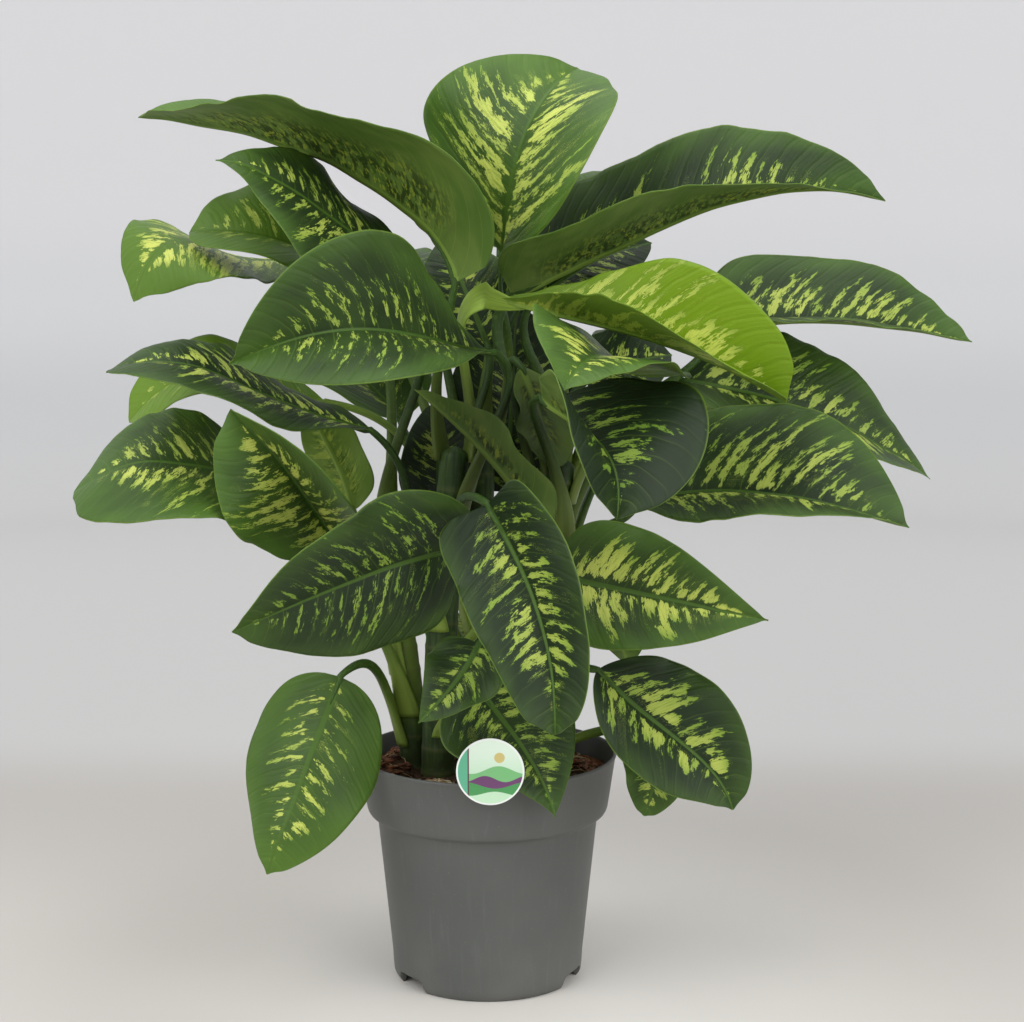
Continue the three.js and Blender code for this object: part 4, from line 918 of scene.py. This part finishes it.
soil = {
    "centre": 170, "edge": 165, "rings": 70, "segments": 150, "wallRadius": 99.0,
    # mounds by middle, reach and height, and roughness by height, size and seed
    "mounds": [((-42, -74), (24, 16), 13), ((-74, 20), (16, 38), 12), ((78, -10), (16, 30), 9)],
    "rough": [(1.3, 14, 1), (0.9, 6, 2), (0.5, 2.5, 3)],
    "wall": [(96.1, 144.5), (93.2, 139.6), (88.2, 135.2), (87, 132), (74.6, 14.8), (0.5, 14.8)],
    "dark": (40, 28, 20), "brown": (78, 56, 40), "dry": (112, 84, 60), "hollowShade": (20, 14, 10),
    # pale sand at the front left of the rim: middle, inner and outer reach in metres, and colour
    "sandMiddle": (-0.043, -0.062), "sandReach": (0.012, 0.03), "sand": (160, 148, 116)}


def soilSurface(x, y):
    # a low crown that falls with the radius squared, as on the solid, mounds that fall as bells,
    # and rough fields of three sizes
    height = soil["centre"] + (soil["edge"] - soil["centre"]) * (np.hypot(x, y) / 100) ** 2
    for (middleX, middleY), (reachX, reachY), top in soil["mounds"]:
        height = height + top * bell(x - middleX, reachX) * bell(y - middleY, reachY)
    return height + sum(top * unevenness(x, y, size, seed) for top, size, seed in soil["rough"])


def soilMaterial():
    # brown peat, dry on its fine crests and darkened near black in its hollows as painted shade, with pale
    # sand in one place
    startMaterial("peat")
    place = objectPlace()
    x, y, _ = parts(place)
    coarse, fine = grain(place, 90.0, 4.0), grain(place, 420.0, 4.0)
    off = hypotenuse(x - soil["sandMiddle"][0], y - soil["sandMiddle"][1])
    sand = ease(off, *soil["sandReach"], 0.85, 0.0) * ease(grain(place, 800.0), 0.42, 0.56)
    # where the fine noise, which also lifts the bump, is low, the peat is near black: painted shade in its
    # hollows
    colour = layers(soil["dark"], (coarse, soil["brown"]), (ease(fine, 0.6, 0.75, 0.0, 0.7), soil["dry"]),
                    (ease(fine, 0.38, 0.28, 0.0, 0.8), soil["hollowShade"]), (sand, soil["sand"]))
    return finishMaterial({"Base Color": colour, "Roughness": 0.93, "Specular IOR Level": 0.25,
                           "Normal": relief(fine + coarse, 0.002, 0.9)})


def makeSoil():
    # the surface over rings that widen evenly, closed down the pot's inner wall to its floor
    turn = ringAngles(soil["segments"])
    top = turned(np.linspace(0.5, soil["wallRadius"], soil["rings"]), np.zeros(soil["rings"]), turn)
    top[..., 2] = soilSurface(top[..., 0], top[..., 1])
    rings = np.concatenate([top, turned(*np.array(soil["wall"]).T, turn)])
    ends = [[0, 0, soilSurface(0, 0)], [0, 0, soil["wall"][-1][1]]]
    points, faces, fans = closedTube(rings, ends)
    addPiece("soil_dressed", points, [faces[:, ::-1], fans[:, ::-1]], [soilMaterial()], ["soil"])


allOver = [(0, 0, 45), (50, -55, 25), (-60, -45, 25), (-50, 50, 25), (60, 40, 25)]
lump = {"sizes": (0.45, 1.35), "stretches": (0.7, 1.3), "dents": 0.28, "tilt": 0.35, "furthest": 95}
looseBits = [
    # spots are middles with a spread; the paint is a dark and a light colour, a scale and a roughness
    {"name": "peat_crumbs", "count": 900, "size": 1.9, "stretch": (1.1, 1.0, 0.8), "sink": 0.3, "seed": 11,
     "spots": allOver, "paint": ("peatCrumb", (44, 30, 22), (96, 70, 50), 160.0, 0.9)},
    {"name": "bark_chips", "count": 260, "size": 3.4, "stretch": (1.7, 0.8, 0.35), "sink": 0.9, "seed": 12,
     "spots": [(-78, 12, 9), (-80, -10, 9), (-70, 40, 10), (-64, 60, 9), (84, -8, 9), (78, 30, 12),
               (0, 85, 16)], "paint": ("barkChip", (62, 34, 22), (138, 84, 56), 120.0, 0.75)},
    {"name": "pale_grains", "count": 900, "size": 1.15, "stretch": (1.0, 1.0, 0.9), "sink": 0.7, "seed": 13,
     "spots": [(-42, -72, 8), (-32, -78, 7), (-58, -52, 7), (-46, -60, 8), (-34, -66, 7)],
     "paint": ("paleGrain", (150, 134, 100), (206, 196, 168), 200.0, 0.8)},
]
fibres = {"count": 150, "steps": 8, "sides": 3, "seed": 77, "away": (72, 92), "length": (8, 22),
          "radius": (0.25, 0.6), "furthest": 96, "bow": 6, "lift": (1.0, 1.2),
          "paint": ("rootFibre", (128, 96, 66), (196, 168, 128), 60.0, 0.8)}


def looseMaterial(name, dark, light, size, roughness):
    # two tones in soft patches, rough at a sixth of their size
    startMaterial(name)
    tone, skin = grain(objectPlace(), size, 3.0), grain(objectPlace(), size * 6, 3.0)
    return finishMaterial({
        "Base Color": layers(dark, (ease(tone, 0.3, 0.7), light)), "Roughness": roughness,
        "Specular IOR Level": 0.3, "Normal": relief(skin, 0.0006, 0.7)})


def repeated(faces, count, corners):
    # the faces of one shape for each of count copies that have so many corners each
    return (faces[None] + np.arange(count)[:, None, None] * corners).reshape(-1, faces.shape[1])


def lumpShape():
    # the points and faces of a ball of few triangles
    ball = bpy.data.meshes.new("lumpShape")
    work = bmesh.new()
    bmesh.ops.create_icosphere(work, subdivisions=1, radius=1)
    work.to_mesh(ball)
    work.free()
    points = np.array([vertex.co[:] for vertex in ball.vertices])
    faces = np.array([polygon.vertices[:] for polygon in ball.polygons])
    bpy.data.meshes.remove(ball)
    return points, faces


def scatter(bits):
    # copies of a lumpy ball, stretched along its own axes, turned at random and set on the peat
    draw, count = np.random.default_rng(bits["seed"]), bits["count"]
    shape, faces = lumpShape()
    spots = np.array(bits["spots"])[draw.integers(0, len(bits["spots"]), count)]
    flat = spots[:, :2] + draw.normal(0, 1, (count, 2)) * spots[:, 2:]
    away = np.maximum(np.hypot(flat[:, 0], flat[:, 1]), 1)
    flat = flat * np.minimum(1, lump["furthest"] / away)[:, None]
    bulk = bits["size"] * draw.uniform(*lump["sizes"], count)
    axes = np.array(bits["stretch"])[None] * draw.uniform(*lump["stretches"], (count, 3))
    dents = 1 + lump["dents"] * draw.uniform(-1, 1, (count, len(shape), 1))
    balls = shape[None] * dents * axes[:, None] * bulk[:, None, None]
    tilt, turn = draw.normal(0, lump["tilt"], count), draw.uniform(0, 2 * math.pi, count)
    ct, st, cz, sz = np.cos(tilt), np.sin(tilt), np.cos(turn), np.sin(turn)
    # turned about Z by turn after a tilt about X
    spin = np.array([[cz, -sz * ct, sz * st], [sz, cz * ct, -cz * st], [0 * st, st, ct]])
    balls = np.einsum("ijn,nvj->nvi", spin, balls)
    height = soilSurface(flat[:, 0], flat[:, 1]) + bits["sink"] * bulk * bits["stretch"][2]
    points = (balls + np.column_stack([flat, height])[:, None]).reshape(-1, 3)
    addPiece(bits["name"], points, [repeated(faces, count, len(shape))],
             [looseMaterial(*bits["paint"])], smooth=False)


def makeFibres():
    # thin roots: short arcs that lie on the peat, each a tube of three sides
    draw, count, sides = np.random.default_rng(fibres["seed"]), fibres["count"], fibres["sides"]
    s = np.linspace(-1, 1, fibres["steps"])
    middle = draw.uniform(0, 2 * math.pi, (count, 1))
    away = draw.uniform(*fibres["away"], (count, 1))
    heading, bow = draw.uniform(0, 2 * math.pi, (count, 1)), draw.normal(0, fibres["bow"], (count, 1))
    run = draw.uniform(*fibres["length"], (count, 1)) * s
    bowed = bow * (1 - s ** 2)
    x = away * np.cos(middle) + run * np.cos(heading) - bowed * np.sin(heading)
    y = away * np.sin(middle) + run * np.sin(heading) + bowed * np.cos(heading)
    shrink = np.minimum(1, fibres["furthest"] / np.hypot(x, y))
    x, y = x * shrink, y * shrink
    low, more = fibres["lift"]
    z = soilSurface(x, y) + low + more * draw.uniform(0, 1, (count, 1)) * (1 - s ** 2)
    path = np.stack([x, y, z], axis=-1)
    along = unit(np.gradient(path, axis=1))
    across = unit(np.cross(along, [0, 0, 1.0]))
    third = np.cross(across, along)
    angle = ringAngles(sides)[:, None]
    radius = draw.uniform(*fibres["radius"], (count, 1, 1, 1)) * (1 - 0.6 * np.abs(s))[:, None, None]
    ring = across[:, :, None] * np.cos(angle) + third[:, :, None] * np.sin(angle)
    each = fibres["steps"] * sides
    caps = np.array([[2, 1, 0], [each - 3, each - 2, each - 1]])
    addPiece("root_fibres", (path[:, :, None] + radius * ring).reshape(-1, 3),
             [repeated(gridFaces(fibres["steps"], sides), count, each), repeated(caps, count, each)],
             [looseMaterial(*fibres["paint"])])


makeSoil()
for bits in looseBits:
    scatter(bits)
makeFibres()
print("stage: peat made")


# Plant label: a round face, a strip over the rim and a stake in the peat

tag = {
    "radius": 26.0, "centre": (3.5, 199.0), "front": -117.2, "thickness": 1.2, "stakeWidth": 12.0,
    "stakeFront": -93.2, "stakeBottom": 146.0, "taper": 8, "pointWidth": 2.4, "potHeight": 185.6,
    "gap": 0.3, "bevel": 0.25, "sides": 128, "sun": (7.0, 11.0), "sunRadius": 4.0,
    # each hill's colour, level, height, length of a swing over 2 pi, and shift
    "hills": [((118, 186, 120), 1.5, 3.0, 6.5, 0.6), ((104, 58, 104), -5.5, 2.4, 5.0, 2.4),
              ((70, 150, 82), -10.5, 2.6, 7.5, 4.2), ((196, 230, 196), -17.0, 1.6, 6.0, 1.0)]}


def tagMaterial():
    # pale green print with a white border and, as a plain generic motif, rolling hills in greens
    # and plum under a small round sun; the hills follow z + a sin(kx)
    startMaterial("labelPrint")
    x, y, z = parts(objectPlace())
    right, up = x / mm - tag["centre"][0], z / mm - tag["centre"][1]
    colour = layers((176, 218, 178), (ease(up, -20.0, 22.0), (222, 240, 222)))
    fromSun = hypotenuse(right - tag["sun"][0], up - tag["sun"][1]) - tag["sunRadius"]
    colour = layers(colour, (ease(fromSun, -0.2, 0.2, 1.0, 0.0), (206, 190, 120)))
    for paint, level, height, length, shift in tag["hills"]:
        top = calc("SINE", right / length + shift) * height + level
        colour = layers(colour, (ease(top - up, -0.15, 0.15), paint))
    line = ease(right, -17.4, -17.1) * ease(right, -16.3, -16.0, 1.0, 0.0)
    colour = layers(
        colour, (ease(right, -17.2, -16.9, 1.0, 0.0), (92, 176, 140)), (line, (84, 58, 70)),
        (ease(hypotenuse(right, up), 24.5, 24.8), (240, 244, 240)))
    onFace = ease(y, -0.1169, -0.1167, 1.0, 0.0)
    return finishMaterial({
        "Base Color": layers((226, 232, 224), (onFace, colour)), "Roughness": 0.35,
        "Specular IOR Level": 0.5, "Coat Weight": 0.3, "Coat Roughness": 0.15})


def roundedBox(low, high):
    # the corners of a box with each moved inwards along two axes at a time; their convex skin is
    # the box with a flat bevel along every edge
    low, high = np.array(low, float), np.array(high, float)
    corners = np.array([[i, j, k] for i in (0, 1) for j in (0, 1) for k in (0, 1)], float)
    inward = (0.5 - corners) * 2 * tag["bevel"]
    return np.concatenate([low + corners * (high - low) + inward * mask for mask in 1 - np.eye(3)])


def makeTag():
    # the convex skins of a bevelled disc, a strip and a stake with a narrow point
    radius, thick, bevel, front = tag["radius"], tag["thickness"], tag["bevel"], tag["front"]
    half, point = tag["stakeWidth"] / 2, tag["pointWidth"] / 2
    top, back = tag["potHeight"] + tag["gap"] + thick, tag["stakeFront"] + thick
    bottom = tag["stakeBottom"]
    turn = ringAngles(tag["sides"])
    disc = np.concatenate([
        np.stack([tag["centre"][0] + r * np.cos(turn), y + 0 * turn, tag["centre"][1] + r * np.sin(turn)],
                 axis=-1)
        for r, y in [(radius - bevel, front), (radius, front + bevel),
                     (radius, front + thick - bevel), (radius - bevel, front + thick)]])
    strip = roundedBox((-half, front + thick / 2, top - thick), (half, back, top))
    stake = np.concatenate([
        roundedBox((-half, tag["stakeFront"], bottom + tag["taper"]), (half, back, top)),
        roundedBox((-point, tag["stakeFront"], bottom), (point, back, bottom + 1))])
    work = bmesh.new()
    for cloud in (disc, strip, stake):
        corners = [work.verts.new(corner) for corner in (cloud * mm).tolist()]
        hull = bmesh.ops.convex_hull(work, input=corners)
        spare = {item for item in hull["geom_interior"] + hull["geom_unused"]
                 if isinstance(item, bmesh.types.BMVert)}
        bmesh.ops.delete(work, geom=list(spare), context="VERTS")
    bmesh.ops.dissolve_limit(work, angle_limit=0.01, verts=work.verts, edges=work.edges)
    bmesh.ops.recalc_face_normals(work, faces=work.faces)
    mesh = bpy.data.meshes.new("tag_dressed")
    work.to_mesh(mesh)
    work.free()
    mesh.materials.append(tagMaterial())
    dress(linked("tag_dressed", mesh), ["tag"])


makeTag()
print("stage: label made")


# Studio: a pale floor that curves up into a pale wall all round, three soft lights and an even sky

studio = {
    "radius": 3400, "sweep": 700, "height": 1250, "sides": 96,  # the other views' cameras are inside
    # paper tones by distance behind the pot's middle, then by distance from it plus height, in metres;
    # they paint the studio's shading, darker bands on the floor behind the pot and in the sweep, and
    # lighter paper high up
    "floorTones": [(-0.6, (198, 193, 188)), (0.1, (194, 189, 183)), (0.52, (182, 178, 173)),
                   (0.8, (191, 190, 188))],
    "wallTones": [(0.8, None), (2.7, (208, 207, 205)), (3.4, (202, 202, 202)), (3.8, (212, 212, 213)),
                  (4.1, (220, 219, 220))],
    # painted light: a lighter patch round the pot, offsetting the shade that the pot and plant cast on the
    # floor, in metres
    "glow": {"across": 0.07, "away": 0.0, "wide": 0.41, "deep": 0.5, "tone": (232, 228, 221)},
    "sky": (238, 240, 243), "skyStrength": 0.8,
}
lights = [
    # places and sizes in metres, power in watts
    {"name": "keyLight", "place": (-1.8, -1.8, 2.4), "size": (2.8, 2.8), "power": 54},
    {"name": "fillLight", "place": (2.2, -1.9, 1.7), "size": (2.6, 2.6), "power": 44},
    {"name": "topLight", "place": (-0.2, 0.0, 2.8), "size": (2.6, 2.0), "power": 26},
]
lightAim = (0, 0, 0.4)


def ramp(colour, place, tones):
    # one tone after another along place, each reached by a smooth step from the one before
    for (low, _), (high, tone) in zip(tones, tones[1:]):
        colour = layers(colour, (ease(place, low, high), tone))
    return colour


def backdropMaterial():
    # the floor's tones from front to back, a painted light patch, then the wall's tones upwards, the tones
    # painting the studio's shading
    startMaterial("backdropPaper")
    across, away, height = parts(objectPlace())
    glow = studio["glow"]
    off = hypotenuse((across - glow["across"]) / glow["wide"], (away - glow["away"]) / glow["deep"])
    colour = ramp(studio["floorTones"][0][1], away, studio["floorTones"])
    # painted light round the pot on the floor
    colour = layers(colour, (ease(off, 0.0, 1.0, 1.0, 0.0), glow["tone"]))
    colour = ramp(colour, hypotenuse(across, away) + height, studio["wallTones"])
    return finishMaterial({"Base Color": colour, "Roughness": 0.6, "Specular IOR Level": 0.2})


def makeBackdrop():
    # a profile of floor, quarter circle and wall, turned once round Z
    radius, sweep = studio["radius"], studio["sweep"]
    bend = np.linspace(0, math.pi / 2, 24)
    out = np.concatenate([[0.5], radius - sweep + sweep * np.sin(bend), [radius]])
    up = np.concatenate([[0], sweep * (1 - np.cos(bend)), [studio["height"]]])
    rings = turned(out, up, ringAngles(studio["sides"])).reshape(-1, 3)
    mesh = bpy.data.meshes.new("backdrop")
    mesh.from_pydata((rings * mm).tolist(), [], gridFaces(len(out), studio["sides"])[:, ::-1].tolist())
    mesh.polygons.foreach_set("use_smooth", np.ones(len(mesh.polygons), bool))
    mesh.materials.append(backdropMaterial())
    linked("backdrop", mesh)


def addLight(light):
    # an area light turned from its place to lightAim
    lamp = bpy.data.lights.new(light["name"], "AREA")
    lamp.shape, lamp.size, lamp.size_y = "RECTANGLE", *light["size"]
    lamp.energy = light["power"]
    holder = linked(light["name"], lamp)
    holder.location = light["place"]
    aim = mathutils.Vector(lightAim) - mathutils.Vector(light["place"])
    holder.rotation_euler = aim.to_track_quat("-Z", "Y").to_euler()


makeBackdrop()
for light in lights:
    addLight(light)
world = bpy.data.worlds.new("softSky")
world.use_nodes = True
sky = world.node_tree.nodes["Background"].inputs
sky["Color"].default_value = linear(studio["sky"])
sky["Strength"].default_value = studio["skyStrength"]
bpy.context.scene.world = world
print("stage: studio made")
